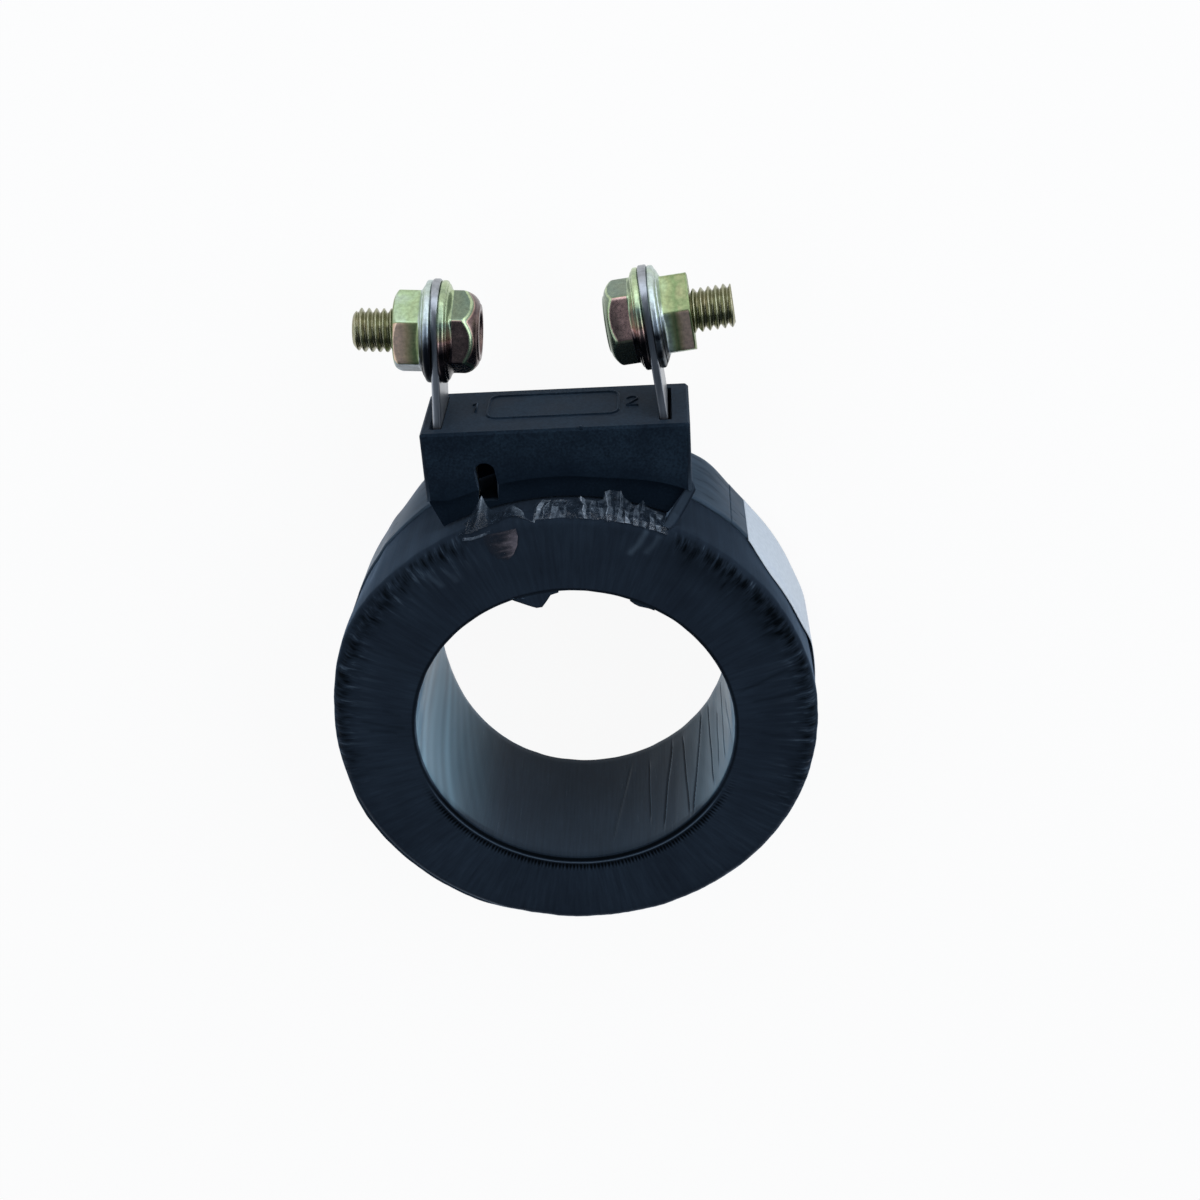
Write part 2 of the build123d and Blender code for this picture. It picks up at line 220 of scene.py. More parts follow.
def filmMaterial(finish):
    material, shader, place, add = newMaterial(f"black polyester film tape, {finish}")
    apart = add("SeparateXYZ", (place,))
    angle = add("Math", (apart.outputs["Y"], apart.outputs["X"]), operation="ARCTAN2")
    flat = add("CombineXYZ", {"X": apart.outputs["X"], "Y": apart.outputs["Y"]})
    radius = add("VectorMath", (flat,), operation="LENGTH").outputs["Value"]
    around = add("Math", (angle, filmLook["turnRadius"]), operation="MULTIPLY")
    inward = add("Math", (radius, 1 / mm), operation="MULTIPLY")
    down = add("Math", (apart.outputs["Z"], 1 / mm), operation="MULTIPLY")
    polar = add("CombineXYZ", {"X": around, "Y": inward, "Z": down})
    streakPlace, cellPlace, fringePlace = [
        add("Mapping", {"Vector": polar, "Scale": [1 / size for size in filmLook[key]]})
        for key in ("streakMm", "cellMm", "fringeMm")]
    streaks = add("TexNoise", {"Vector": streakPlace, "Scale": 1.0, "Detail": 4.0, "Roughness": 0.6})
    clouds = add("TexNoise", {"Vector": place, "Scale": 90.0, "Detail": 3.0})
    both = add("Math", (streaks, clouds), operation="MULTIPLY")
    plain = add("ValToRGB", (both,), stops=[(0.1, filmLook["dark"]), (0.45, filmLook["light"])])
    # where the film is gathered it puckers into small cells with a fringe of pleats behind them: a bump, with
    # painted shade in their hollows and a painted highlight on their crests
    gathered = add("Attribute", attribute_name="gathered").outputs["Fac"]
    cells = add("TexVoronoi", {"Vector": cellPlace, "Scale": 1.0, "Randomness": 0.95})
    fringe = add("TexNoise", {"Vector": fringePlace, "Scale": 1.0, "Detail": 3.0, "Roughness": 0.6})
    cellLift = add("MapRange", {"Value": cells.outputs["Distance"], "From Min": 0.1, "From Max": 0.95,
                                "To Min": -0.66, "To Max": 0.5})
    pleats = add("MapRange", {"Value": fringe, "From Min": 0.34, "From Max": 0.66,
                              "To Min": -0.5, "To Max": 0.28})
    puckers = add("Math", (cellLift, pleats), operation="ADD")
    # fine ticks where the film is gathered round the window's front edge, on its low side: a bump with
    # painted light and dark stripes, over a band of painted shade that is darkest on the lip inside them
    tickWave = add("Math", (angle, float(filmLook["tickCount"])), operation="MULTIPLY")
    tickBend = add("Math", (streaks, filmLook["tickBend"], tickWave), operation="MULTIPLY_ADD")
    tick = add("Math", (tickBend,), operation="SINE")
    zones = []
    for edges in (filmLook["tickEdges"], filmLook["lipEdges"]):
        rise, fall = [add("MapRange", {"Value": radius, "From Min": low * mm, "From Max": high * mm})
                      for low, high in edges]
        zones.append(add("Math", (rise, fall), operation="MULTIPLY"))
    low = add("MapRange", {"Value": apart.outputs["Y"], "From Min": -8.0 * mm, "From Max": -15.0 * mm})
    tickZone = add("Math", (zones[0], low), operation="MULTIPLY")
    ticks = add("Math", (tick, tickZone), operation="MULTIPLY")
    tickTone = add("Math", (tickZone, -0.6, ticks), operation="MULTIPLY_ADD")
    edgeTone = add("Math", (zones[1], -1.2, tickTone), operation="MULTIPLY_ADD")
    # painted light from the fold mark and the puckers: a painted highlight on ridges and crests, painted
    # shade in hollows, creases and seams, and in the window a painted grazing reflection
    fold = add("Attribute", attribute_name="fold").outputs["Fac"]
    creased = add("Math", (edgeTone, 0.55, fold), operation="MULTIPLY_ADD")
    folded = add("Math", (puckers, gathered, creased), operation="MULTIPLY_ADD")
    paintedHighlightShare = add("MapRange", {"Value": folded, "From Min": 0.0, "From Max": 1.0})
    paintedShadeShare = add("MapRange", {"Value": folded, "From Min": 0.0, "From Max": -1.0})
    pale = filmLook["paintedWindowSheen" if finish == "smooth" else "ridge"]
    withPaintedHighlight = add("Mix", {"Factor": paintedHighlightShare, 6: plain, 7: pale}, data_type="RGBA")
    colour = add("Mix", {"Factor": paintedShadeShare, 6: withPaintedHighlight.outputs[2], 7: filmLook["hollow"]},
                 data_type="RGBA")
    rough = add("MapRange", {"Value": streaks, "From Min": 0.3, "From Max": 0.7,
                             "To Min": filmLook["roughness"][finish] - 0.07,
                             "To Max": filmLook["roughness"][finish] + 0.08})
    ridged = add("Math", (puckers, gathered, streaks), operation="MULTIPLY_ADD")
    height = add("Math", (ticks, 0.6, ridged), operation="MULTIPLY_ADD")
    relief = add("Bump", {"Height": height, "Strength": 0.35, "Distance": 0.06 * mm})
    fillSockets(shader, {"Base Color": colour.outputs[2], "Roughness": rough, "Normal": relief,
                         **filmLook["shader"][finish]})
    return material


# ABS-like moulding, spark-eroded: fine even grain that scatters light, so it looks greyer
# than the film where light grazes it.
blockLook = {
    "dark": "#111922", "light": "#1c2833", "recessShade": "#0a131d", "roughness": 0.5, "grainMm": 0.32,
    "shader": skin(1.25, 0.07, 0.2, 0.4),
}


def blockMaterial():
    material, shader, place, add = newMaterial("black moulded plastic, spark-eroded")
    grain = add("TexNoise", {"Vector": place, "Scale": 1 / (blockLook["grainMm"] * mm), "Detail": 2.0})
    cloud = add("TexNoise", {"Vector": place, "Scale": 150.0, "Detail": 4.0})
    mixed = add("Math", (grain, cloud), operation="MULTIPLY")
    colour = add("ValToRGB", (mixed,), stops=[(0.15, blockLook["dark"]), (0.38, blockLook["light"])])
    # painted shade: the colour darkens towards the recess over the ring, where the moulding curves down under
    # the block's overhang
    flat = add("VectorMath", (place, (1.0, 1.0, 0.0)), operation="MULTIPLY")
    away = add("VectorMath", (flat,), operation="LENGTH")
    near = add("MapRange", {"Value": away.outputs["Value"], "From Min": 43.0 * mm, "From Max": 39.0 * mm,
                            "To Max": 0.6}, interpolation_type="SMOOTHSTEP")
    recessShaded = add("Mix", {"Factor": near, 6: colour, 7: blockLook["recessShade"]}, data_type="RGBA")
    rough = add("MapRange", {"Value": cloud, "From Min": 0.3, "From Max": 0.7,
                             "To Min": blockLook["roughness"] - 0.06,
                             "To Max": blockLook["roughness"] + 0.06})
    relief = add("Bump", {"Height": grain, "Strength": 0.25, "Distance": 0.03 * mm})
    fillSockets(shader, {"Base Color": recessShaded.outputs[2], "Roughness": rough, "Normal": relief,
                         **blockLook["shader"]})
    return material


# Materials with one grain. Each has its two tones and where they begin, the grains in a metre
# along X, Y and Z, their detail, the least and the most roughness, and the bump in mm.
grainLooks = {
    # smooth dark band, the film's family but flatter, so it mirrors a pale room
    "smooth grey-black band": {
        "tones": ("#303c47", "#3e4c59"), "at": (0.35, 0.65), "grains": (160, 160, 900), "detail": 4.0,
        "roughness": (0.25, 0.37), "from": (0.3, 0.7), "bump": (0.15, 0.04),
        "shader": skin(1.2, 0.08, 0.4, 0.28),
    },
    # coated label stock: pale, a little blue, smooth with a slight tooth
    "pale label stock": {
        "tones": ("#b2bcc5", "#bec7cf"), "at": (0.35, 0.65), "grains": (1400, 1400, 1400), "detail": 5.0,
        "roughness": (0.45, 0.55), "bump": (0.1, 0.02), "shader": {"IOR": 1.5},
    },
    # bright tin plate on copper strip: a soft mirror with fine drawing lines
    "bright tin plate": {
        "tones": ("#84888e", "#a4a9af"), "at": (0.3, 0.6), "grains": (1200, 90, 1500), "detail": 4.0,
        "roughness": (0.27, 0.43), "bump": (0.12, 0.03), "shader": {"Metallic": 1.0},
    },
}
# What the film hides: two tones, the roughness, metal or not, and the grains in a metre.
innerLooks = {
    "edges of rolled silicon steel": ("#5b5f66", "#84888e", 0.42, 1.0, 2500),
    "pressboard": ("#a8875a", "#c2a374", 0.8, 0.0, 600),
    "enamelled copper wire": ("#8a3f1c", "#b4622c", 0.28, 1.0, 500),
    "pale polyester tape": ("#c9b678", "#ded09a", 0.35, 0.0, 400),
    "woven sleeving": ("#c4bfae", "#ddd8c8", 0.7, 0.0, 2500),
    "tin-lead solder": ("#94979b", "#c5c7ca", 0.25, 1.0, 700),
}
for name, (dark, light, roughness, metal, grains) in innerLooks.items():
    grainLooks[name] = {"tones": (dark, light), "at": (0.35, 0.65), "grains": (grains,) * 3, "detail": 4.0,
                        "roughness": (roughness - 0.08, roughness + 0.08), "bump": (0.2, 0.05),
                        "shader": {"Metallic": metal}}


def grainMaterial(name):
    look = grainLooks[name]
    material, shader, place, add = newMaterial(name)
    stretch = add("Mapping", {"Vector": place, "Scale": look["grains"]})
    grain = add("TexNoise", {"Vector": stretch, "Scale": 1.0, "Detail": look["detail"]})
    colour = add("ValToRGB", (grain,), stops=list(zip(look["at"], look["tones"])))
    low, high = look.get("from", (0.0, 1.0))
    rough = add("MapRange", {"Value": grain, "From Min": low, "From Max": high,
                             "To Min": look["roughness"][0], "To Max": look["roughness"][1]})
    strength, depth = look["bump"]
    relief = add("Bump", {"Height": grain, "Strength": strength, "Distance": depth * mm})
    fillSockets(shader, {"Base Color": colour, "Roughness": rough, "Normal": relief, **look["shader"]})
    return material


# Zinc plate with yellow chromate passivation: bright metal under a thin film whose colour turns with its
# thickness. Each flat of a hexagon has its own shade, partly that colour and partly painted reflection of how
# the flat faces the light.
zincLook = {
    # each ramp's darkest stop is painted shade for flange undersides and crowns; the bolt's palest green is a
    # painted highlight on crown edges and flange tops
    "bolt": {"roughness": 0.26, "stops": [
        (0.0, "#b4c69e"), (0.12, "#6f8173"), (0.3, "#7c8770"), (0.48, "#97977d"), (0.64, "#93806e"),
        (0.74, "#bb9a94"), (0.84, "#83706b"), (0.93, "#56484a"), (1.0, "#1d1c20")]},
    "nut": {"roughness": 0.4, "stops": [
        (0.0, "#23282f"), (0.1, "#97a5b0"), (0.18, "#c0cccb"), (0.32, "#a9bf98"), (0.46, "#959f74"),
        (0.6, "#788b61"), (0.8, "#bfae8c"), (1.0, "#e6c9b6")]},
    "patchMm": 2.4, "patchShare": 0.22, "speckleMm": 0.5, "speckle": 0.2, "pitMm": 0.35,
}


def zincMaterial(finish):
    look = zincLook[finish]
    material, shader, place, add = newMaterial(f"zinc plate, yellow passivated, {finish}")
    patches, pits, speckles = [
        add("TexNoise", {"Vector": place, "Scale": 1 / (zincLook[size] * mm), **extra})
        for size, extra in (("patchMm", {"Detail": 3.0, "Distortion": 0.4}), ("pitMm", {"Detail": 3.0}),
                            ("speckleMm", {"Detail": 5.0, "Roughness": 0.65}))]
    shade = add("Attribute", attribute_name="shade").outputs["Fac"]
    drift = add("Math", (patches, zincLook["patchShare"], shade), operation="MULTIPLY_ADD")
    spread = add("Math", (drift, zincLook["patchShare"] / 2), operation="SUBTRACT")
    tint = add("ValToRGB", (spread,), stops=look["stops"])
    value = add("MapRange", {"Value": speckles, "From Min": 0.33, "From Max": 0.67,
                             "To Min": 1 - zincLook["speckle"], "To Max": 1 + zincLook["speckle"]})
    mottled = add("HueSaturation", {"Color": tint, "Value": value})
    rough = add("MapRange", {"Value": pits, "To Min": look["roughness"] - 0.08,
                             "To Max": look["roughness"] + 0.12})
    relief = add("Bump", {"Height": pits, "Strength": 0.09, "Distance": 0.03 * mm})
    fillSockets(shader, {"Base Color": mottled, "Metallic": 1.0, "Roughness": rough, "Normal": relief})
    return material


# Clear polyester tape: hardly any colour of its own over the black film; its gleam mark is a painted
# highlight that pales it and makes it less clear, painted glints on its creases and folds. One piece has
# dried adhesive under it.
clearLook = {
    "clear": {"cover": (0.3, 1.0), "stops": [
        (0.0, "#141b22"), (0.35, "#2b3540"), (0.7, "#6c7782"), (1.0, "#b9c2cb")]},
    "stained": {"cover": (0.0, 1.25), "stops": [
        (0.0, "#191c22"), (0.4, "#34343a"), (0.75, "#524e54"), (1.0, "#6f696f")]},
    "roughness": (0.1, 0.28), "cloudMm": 0.7,
}


def clearMaterial(finish):
    material, shader, place, add = newMaterial(f"clear polyester tape, {finish}")
    cloud = add("TexNoise", {"Vector": place, "Scale": 1 / (clearLook["cloudMm"] * mm), "Detail": 4.0})
    gleam = add("Attribute", attribute_name="gleam").outputs["Fac"]
    glinty = add("Math", (cloud, 0.5, gleam), operation="MULTIPLY_ADD")
    even = add("Math", (glinty, 0.25), operation="SUBTRACT")
    colour = add("ValToRGB", (even,), stops=clearLook[finish]["stops"])
    cover, rough = [add("MapRange", {"Value": value, "To Min": low, "To Max": high}) for value, (low, high) in
                    ((even, clearLook[finish]["cover"]), (cloud, clearLook["roughness"]))]
    fillSockets(shader, {"Base Color": colour, "Alpha": cover, "Roughness": rough, "IOR": 1.45,
                         "Specular IOR Level": 0.3})
    return material


filmTape, filmSmooth, filmRim = [filmMaterial(finish) for finish in ("wound", "smooth", "rim")]
blockPlastic = blockMaterial()
bandPlastic = grainMaterial("smooth grey-black band")
labelStock, tinPlate = grainMaterial("pale label stock"), grainMaterial("bright tin plate")
clearFilm, stainedFilm = clearMaterial("clear"), clearMaterial("stained")
boltZinc, nutZinc = zincMaterial("bolt"), zincMaterial("nut")
inner = {name: grainMaterial(name) for name in innerLooks}
dressed = {
    "core": inner["edges of rolled silicon steel"], "secondary_winding": inner["enamelled copper wire"],
    "winding_wrap": inner["pale polyester tape"], "terminal_block": blockPlastic, "rim_band": bandPlastic,
    "rating_label": labelStock, "outer_wrap": filmTape,
}
for nodeName in ("core_liner_inner", "core_liner_outer", "core_collar_front", "core_collar_back"):
    dressed[nodeName] = inner["pressboard"]
for number in (1, 2):
    dressed[f"terminal_lug_{number}"] = tinPlate
    dressed[f"terminal_bolt_{number}"] = boltZinc
    dressed[f"terminal_nut_{number}"] = nutZinc
    dressed[f"lead_sleeve_{number}"] = inner["woven sleeving"]
    dressed[f"solder_joint_{number}"] = inner["tin-lead solder"]
for nodeName, material in dressed.items():
    nodes[nodeName].data.materials.clear()
    nodes[nodeName].data.materials.append(material)
print("materials ready")


# Floor, wall, lights and camera.
studio = {
    "floorTones": ("#f4f5f6", "#f7f8f8"), "ownLight": 0.93,
    "wallDistance": 1.5, "wallHeight": 0.22, "wallColumns": 96,
    # the room above the wall: pale at the horizon and by the back light, dim overhead
    "roomTones": ("#c9d3dd", "#56606c"), "roomStrength": 0.7,
    # place, size across and up, power in watts
    "lamps": {
        "back wall light": ((0.05, 0.8, 0.36), (1.6, 0.7), 5.2),
        "left soft box": ((-0.6, 0.1, 0.55), (0.8, 0.8), 2.4),
        "right soft box": ((0.65, 0.25, 0.45), (0.7, 0.7), 3.9),
    },
    "lampColour": "#f1f6ff", "lampTarget": (0, 0.02, 0),
}


def backdropMaterial():
    # painted board that also gives its own white to what looks straight at it or mirrors it
    material, shader, place, add = newMaterial("matt white painted board")
    tooth = add("TexNoise", {"Vector": place, "Scale": 30.0})
    paint = add("ValToRGB", (tooth,), stops=list(zip((0.3, 0.7), studio["floorTones"])))
    fillSockets(shader, {"Base Color": paint, "Roughness": 0.9, "Specular IOR Level": 0.0})
    own = add("Emission", {"Color": "#ffffff", "Strength": 1.0})
    rays = add("LightPath").outputs
    seen = add("Math", (rays["Is Camera Ray"], rays["Is Glossy Ray"]), operation="MAXIMUM")
    seenAll = add("Math", (seen, rays["Is Transmission Ray"]), operation="MAXIMUM")
    share = add("Math", (seenAll, studio["ownLight"]), operation="MULTIPLY")
    mixed = add("MixShader", (share, shader, own))
    fillSockets(material.node_tree.nodes["Material Output"], {"Surface": mixed})
    return material


def makeBackdrop():
    wall, steps, floorZ = studio["wallDistance"], studio["wallColumns"], cadBox[0][2]
    rings = [(wall * 0.25, 0), (wall * 0.8, 0), (wall * 0.94, 0.03), (wall, 0.12),
             (wall, studio["wallHeight"])]
    verts = [(0, 0, floorZ)]
    for radius, height in rings:
        for turn in [2 * pi * k / steps for k in range(steps)]:
            verts.append((radius * cos(turn), radius * sin(turn), floorZ + height))
    faces = [(0, 1 + k, 1 + (k + 1) % steps) for k in range(steps)] + joinRows(1, len(rings), steps, False)
    mesh = bpy.data.meshes.new("backdrop")
    mesh.from_pydata(verts, [], faces)
    mesh.polygons.foreach_set("use_smooth", [True] * len(mesh.polygons))
    mesh.materials.append(backdropMaterial())
    backdrop = link("backdrop", mesh)


def makeLights():
    world = bpy.data.worlds.new("studio")
    bpy.context.scene.world = world
    world.use_nodes = True
    add = partial(addNode, world.node_tree)
    apart = add("SeparateXYZ", (add("TexCoord").outputs["Generated"],))
    lean = add("Math", (apart.outputs["Y"], -0.35, apart.outputs["Z"]), operation="MULTIPLY_ADD")
    room = add("ValToRGB", (lean,), stops=list(zip((0.1, 0.5), studio["roomTones"])))
    fillSockets(world.node_tree.nodes["Background"], {"Color": room, "Strength": studio["roomStrength"]})
    for name, (place, size, power) in studio["lamps"].items():
        light = bpy.data.lights.new(name, "AREA")
        light.shape = "RECTANGLE"
        light.size, light.size_y = size
        light.energy = power
        light.color = linearColour(studio["lampColour"])[:3]
        lamp = link(name, light)
        lamp.location = place
        aim = Vector(studio["lampTarget"]) - Vector(place)
        lamp.rotation_euler = aim.to_track_quat("-Z", "Y").to_euler()


cameraView = {"lens": 50.97, "place": (16.4, 135.7, 218.0), "target": (4.1, 14.2, 0.0), "roll": -3.77}


def makeCamera():
    data = bpy.data.cameras.new("camera")
    data.lens = cameraView["lens"]
    data.sensor_width = 36.0
    data.clip_start = 0.01
    camera = link("camera", data)
    back = (Vector(cameraView["place"]) - Vector(cameraView["target"])).normalized()
    across = Vector((0, 1, 0)).cross(back).normalized()
    turn = Matrix((across, back.cross(across), back)).transposed()
    turn @= Matrix.Rotation(radians(cameraView["roll"]), 3, "Z")
    camera.matrix_world = Matrix.Translation(Vector(cameraView["place"]) * mm) @ turn.to_4x4()
    bpy.context.scene.camera = camera


makeBackdrop()
makeLights()
makeCamera()
bpy.context.scene.view_settings.view_transform = "Standard"
print("studio ready")

# The film that wraps the ring. Where it turns over the rim it is drawn in between ridges;
# angles in degrees from +X, lengths in mm.
filmRing = {
    "step": 0.5, "fineStep": 0.25, "fineFrom": 285.0, "fineTo": 351.0,
    "window": 23.0, "rim": 35.12, "back": -13.4, "front": 13.26, "rimCorner": 1.9, "windowCorner": 0.7,
    "rightRidges": (19.4, 25.2, 28.6, 32.2, 36.8, 41.3, 47.3, 52.1, 56.0, 59.9, 63.0),
    "leftRidges": (111.8, 114.2, 116.7, 118.6, 120.2, 122.5, 127.9, 134.3, 141.6, 145.9, 150.5, 154.1,
                   159.9, 167.3),
    "ridgeGap": (1.1, 2.4), "ridgeReach": (1.6, 3.8), "ridgeWidth": 0.2, "seed": 11,
    # the film stays outside the clear tape under it and inside the part's own box
    "leastRim": 34.82, "leastFace": 12.97, "leastCorner": 1.25, "mostLift": 0.12, "boxHalf": 35.48,
    "swellAngle": 148.0, "swell": 0.75, "squeezeAngle": -165.0, "squeeze": 1.5,
    # the winding is not quite round: drawn up beside the block, flat at both sides behind
    "shoulder": 1.4, "flat": 0.28, "sag": 0.5,
    # edges of film layers in the window: angle and height at the back, then at the front
    "seams": [(-72.0, -10.5, -80.0, 10.3, 0.4), (-64.4, -8.6, -64.2, 7.7, 0.7),
              (-53.3, -11.4, -58.6, 11.6, 0.9), (-48.2, -10.3, -45.5, 12.6, 0.9),
              (-36.2, -12.1, -43.8, 13.3, 1.0), (-31.5, -11.5, -30.3, 11.4, 1.0),
              (-19.2, -11.0, -19.8, 10.0, 0.9), (-15.2, -3.0, -10.0, 12.3, 0.8),
              (-24.5, -6.0, -26.0, 9.0, 0.5)],
    # long creases on the face, sunk a little and darkened with painted shade: angle and radius at each end
    "creases": [(176.5, 24.2, 174.2, 31.5, 0.33), (178.5, 25.5, 177.3, 30.0, 0.28),
                (171.5, 25.0, 170.0, 28.0, 0.22), (13.5, 24.0, 17.0, 33.0, 0.33),
                (8.5, 25.5, 9.6, 33.6, 0.28), (4.5, 26.0, 5.2, 32.5, 0.22), (-3.0, 26.5, -4.0, 31.0, 0.22)],
    # creases below the block, raised a little and made pale by a painted highlight
    "streaks": [(69.5, 34.4, 71.8, 29.6, 0.42), (66.5, 34.2, 68.0, 30.4, 0.25),
                (121.5, 34.2, 119.8, 28.8, 0.2), (126.0, 34.2, 124.0, 29.4, 0.2)],
    # points of the section in the window, and the first and last on the rim side
    "windowPoints": 24, "rimPoints": (73, 99),
    # the wrap's inner side: radius and height of its corners
    "innerSection": [(23.46, -12.95), (23.46, 12.75), (34.7, 12.0), (34.7, -12.95)], "innerColumns": 120,
}


def ringSection():
    # closed outline of the wrap, as (radius, height, outward direction), and its corner point
    window, rim, back, front, big, small = (
        filmRing[key] for key in ("window", "rim", "back", "front", "rimCorner", "windowCorner"))
    outline = []

    def addStretch(start, end, normal, count, bias=1.0):
        for t in [(k / count) ** bias for k in range(count)]:
            outline.append((mix(start[0], end[0], t), mix(start[1], end[1], t), *normal))

    def addCorner(r, z, radius, startAngle, count):
        for a in [radians(startAngle - 90 * k / count) for k in range(count)]:
            outline.append((r + radius * cos(a), z + radius * sin(a), cos(a), sin(a)))

    addStretch((window, back + small), (window, front - small), (-1, 0), 22)
    addCorner(window + small, front - small, small, 180, 7)
    addStretch((window + small, front), (rim - big, front), (0, 1), 38, 1.35)
    corner = len(outline) + 6
    addCorner(rim - big, front - big, big, 90, 12)
    addStretch((rim, front - big), (rim, back + big), (1, 0), 18, 1.6)
    addCorner(rim - big, back + big, big, 0, 4)
    addStretch((rim - big, back), (window + small, back), (0, -1), 5)
    addCorner(window + small, back + small, small, 270, 3)
    return outline, corner


def filmRidges():
    # angle of each ridge, the pull of the hollow after it, its reach on the face and its lean
    rng = random.Random(filmRing["seed"])
    angles = list(filmRing["rightRidges"] + filmRing["leftRidges"])
    for start, end in ((0.4, 18.0), (65.0, 110.5), (169.5, 359.6)):
        angle = start
        while angle < end:
            angles.append(angle)
            angle += degree * (rng.uniform(*filmRing["ridgeGap"]) / filmRing["rim"])
    return [(angle, rng.uniform(0.5, 1.0), rng.uniform(*filmRing["ridgeReach"]), rng.uniform(-0.35, 0.35))
            for angle in sorted(angles)]


def ringColumns():
    # finer where the seams inside the window are seen
    angles, turn = [], 0.0
    while turn < 360 - 1e-6:
        angles.append(turn)
        turn += filmRing["fineStep" if filmRing["fineFrom"] <= turn < filmRing["fineTo"] else "step"]
    return angles


def pullDepth(turn):
    # how deep the hollows are round the ring: deep at the upper left and the right
    right = (1 - smoothStep(58, 66, turn)) + smoothStep(325, 352, turn)
    return 0.06 + 0.19 * (plateau(108, 118, 170, 205, turn) + right)


def lineNear(turn, place, line, radius, width=0.13):
    # how near a line that runs from one angle and place to another is, and the step beside it
    startAngle, startPlace, endAngle, endPlace, strength = line
    t = (place - startPlace) / (endPlace - startPlace)
    if not -0.02 < t < 1.02:
        return 0.0, 0.0
    wobble = 0.5 * waver(startAngle, t * 3, 1.0)
    away = radians((turn - mix(startAngle, endAngle, t) - wobble + 180) % 360 - 180) * radius
    fade = strength * plateau(0.0, 0.12, 0.85, 1.0, t)
    return fade * bell(away, width), fade * plateau(-0.1, 0.1, 0.2, 2.2, away)


def rimRelief(turn, z):
    # how far the wound rim stands off a true circle
    shoulder = plateau(45, 58, 63.0, 64.3, turn) + plateau(115.8, 117.0, 121, 137, turn)
    flat = plateau(12, 22, 38, 48, turn) + plateau(138, 144, 156, 164, turn)
    return (filmRing["swell"] * bell(turn - filmRing["swellAngle"], 15) * smoothStep(-12.0, 6.0, z)
            + filmRing["shoulder"] * shoulder * smoothStep(1.5, -12.0, z)
            - filmRing["flat"] * flat * (1 - smoothStep(2.0, 9.0, z))
            + filmRing["sag"] * plateau(188, 205, 240, 258, turn) * smoothStep(-8.0, 8.0, z))


def rimFolds(turn, across, fine, ridges, angles):
    # the drawn-in film near the rim's corner: how far it stands out, its painted light (a painted highlight
    # on ridges and knots, painted shade in hollows) and how much it is gathered, at a distance across from
    # the corner that is positive on the face
    def ridgeAt(angle):
        return (bisect.bisect_right(angles, angle) - 1) % len(ridges)

    pull = pullDepth(turn)
    shift = turn - ridges[ridgeAt(turn)][3] * across
    k = ridgeAt(shift % 360)
    angle, strength, reach = ridges[k][:3]
    span = (angles[(k + 1) % len(ridges)] - angle) % 360
    spanMm = radians(span) * 35
    u = min(1.0, ((shift - angle) % 360) / span)
    hollow = (4 * u * (1 - u)) ** 0.7
    fade = plateau(-1.3, 0.2, 0.5, reach + 0.6, across)
    if across < 0:
        fade = max(fade, 0.4 * (1 - smoothStep(0.3, 1.2 + reach * 0.45, -across)))
    ridge = bell(min(u, 1 - u) * spanMm, filmRing["ridgeWidth"])
    knot = ridge * bell(across - 0.1, 0.35)
    drawn = min(1.0, pull / 0.3)
    out = 0.06 * knot * drawn - pull * strength * min(1.0, spanMm / 2.6) * hollow * fade
    # painted light: a painted highlight on the ridge, brightest in the knot at the corner, and painted shade
    # in the hollow beside it
    fold = (ridge * fade * 0.08 + knot * 0.3 * strength - hollow * fade * (0.1 + 0.25 * strength)) * drawn
    fold += fine * 0.4 * drawn * plateau(-0.5, 1.0, 2.0, 7.0, across)
    # painted shade over the pleated right side near the corner
    fold -= 0.5 * plateau(18, 30, 58, 66, turn) * plateau(-0.6, 0.8, 2.6, 6.0, across) * (0.7 + 0.6 * fine)
    tail = 1.4 + 0.8 * reach * (0.5 + fine)
    return out, fold, smoothStep(0.07, 0.2, pull) * plateau(-0.9, 0.1, tail * 0.3, tail + 1.2, across)


def windowEdge(turn, gap):
    # bead, groove and lip just outside the window's front edge, on its low side; their tone is a painted
    # highlight on the bead and painted shade in the groove and on the lip
    ca, sa = cos(radians(turn)), sin(radians(turn))
    lower = plateau(196, 215, 318, 334, turn)
    bead, groove, lip = bell(gap - 0.72, 0.12), bell(gap - 1.35, 0.42), bell(gap - 0.25, 0.2)
    tick = sin(radians(turn) * filmLook["tickCount"] + 3 * waver(ca * 9, sa * 9, 1.0)) * bell(gap - 1.6, 0.4)
    return (lower * (0.1 * bead - 0.15 * groove - 0.06 * lip + 0.05 * tick),
            lower * (1.1 * bead - 0.75 * groove - 0.9 * lip))


def windowSide(turn, r, z):
    # squeezed at the lower left, with painted reflection in slanting pale streaks up both sides, and seamed
    signed = turn - 360 if turn > 180 else turn
    squeezeTurn = (turn - filmRing["squeezeAngle"] + 180) % 360 - 180
    out = filmRing["squeeze"] * bell(squeezeTurn, 34) * smoothStep(9.0, -13.0, z)
    out += 0.06 * waver(cos(radians(turn)) * 10, sin(radians(turn)) * 10, z * 0.06)
    slant = waver(turn * 0.22 - z * 0.2, z * 0.02, 5.0)
    fold = (0.8 + 0.5 * slant) * plateau(165, 178, 186, 238, turn)
    fold += (0.5 + 0.2 * slant) * plateau(-55, -15, 14, 30, signed)
    # each seam is a small step with a painted shadow along it
    if -85 < signed < -5:
        for seam in filmRing["seams"]:
            dark, step = lineNear(signed, z, seam, r)
            fold -= 1.3 * dark
            out += 0.1 * step - 0.3 * dark
    return out, fold


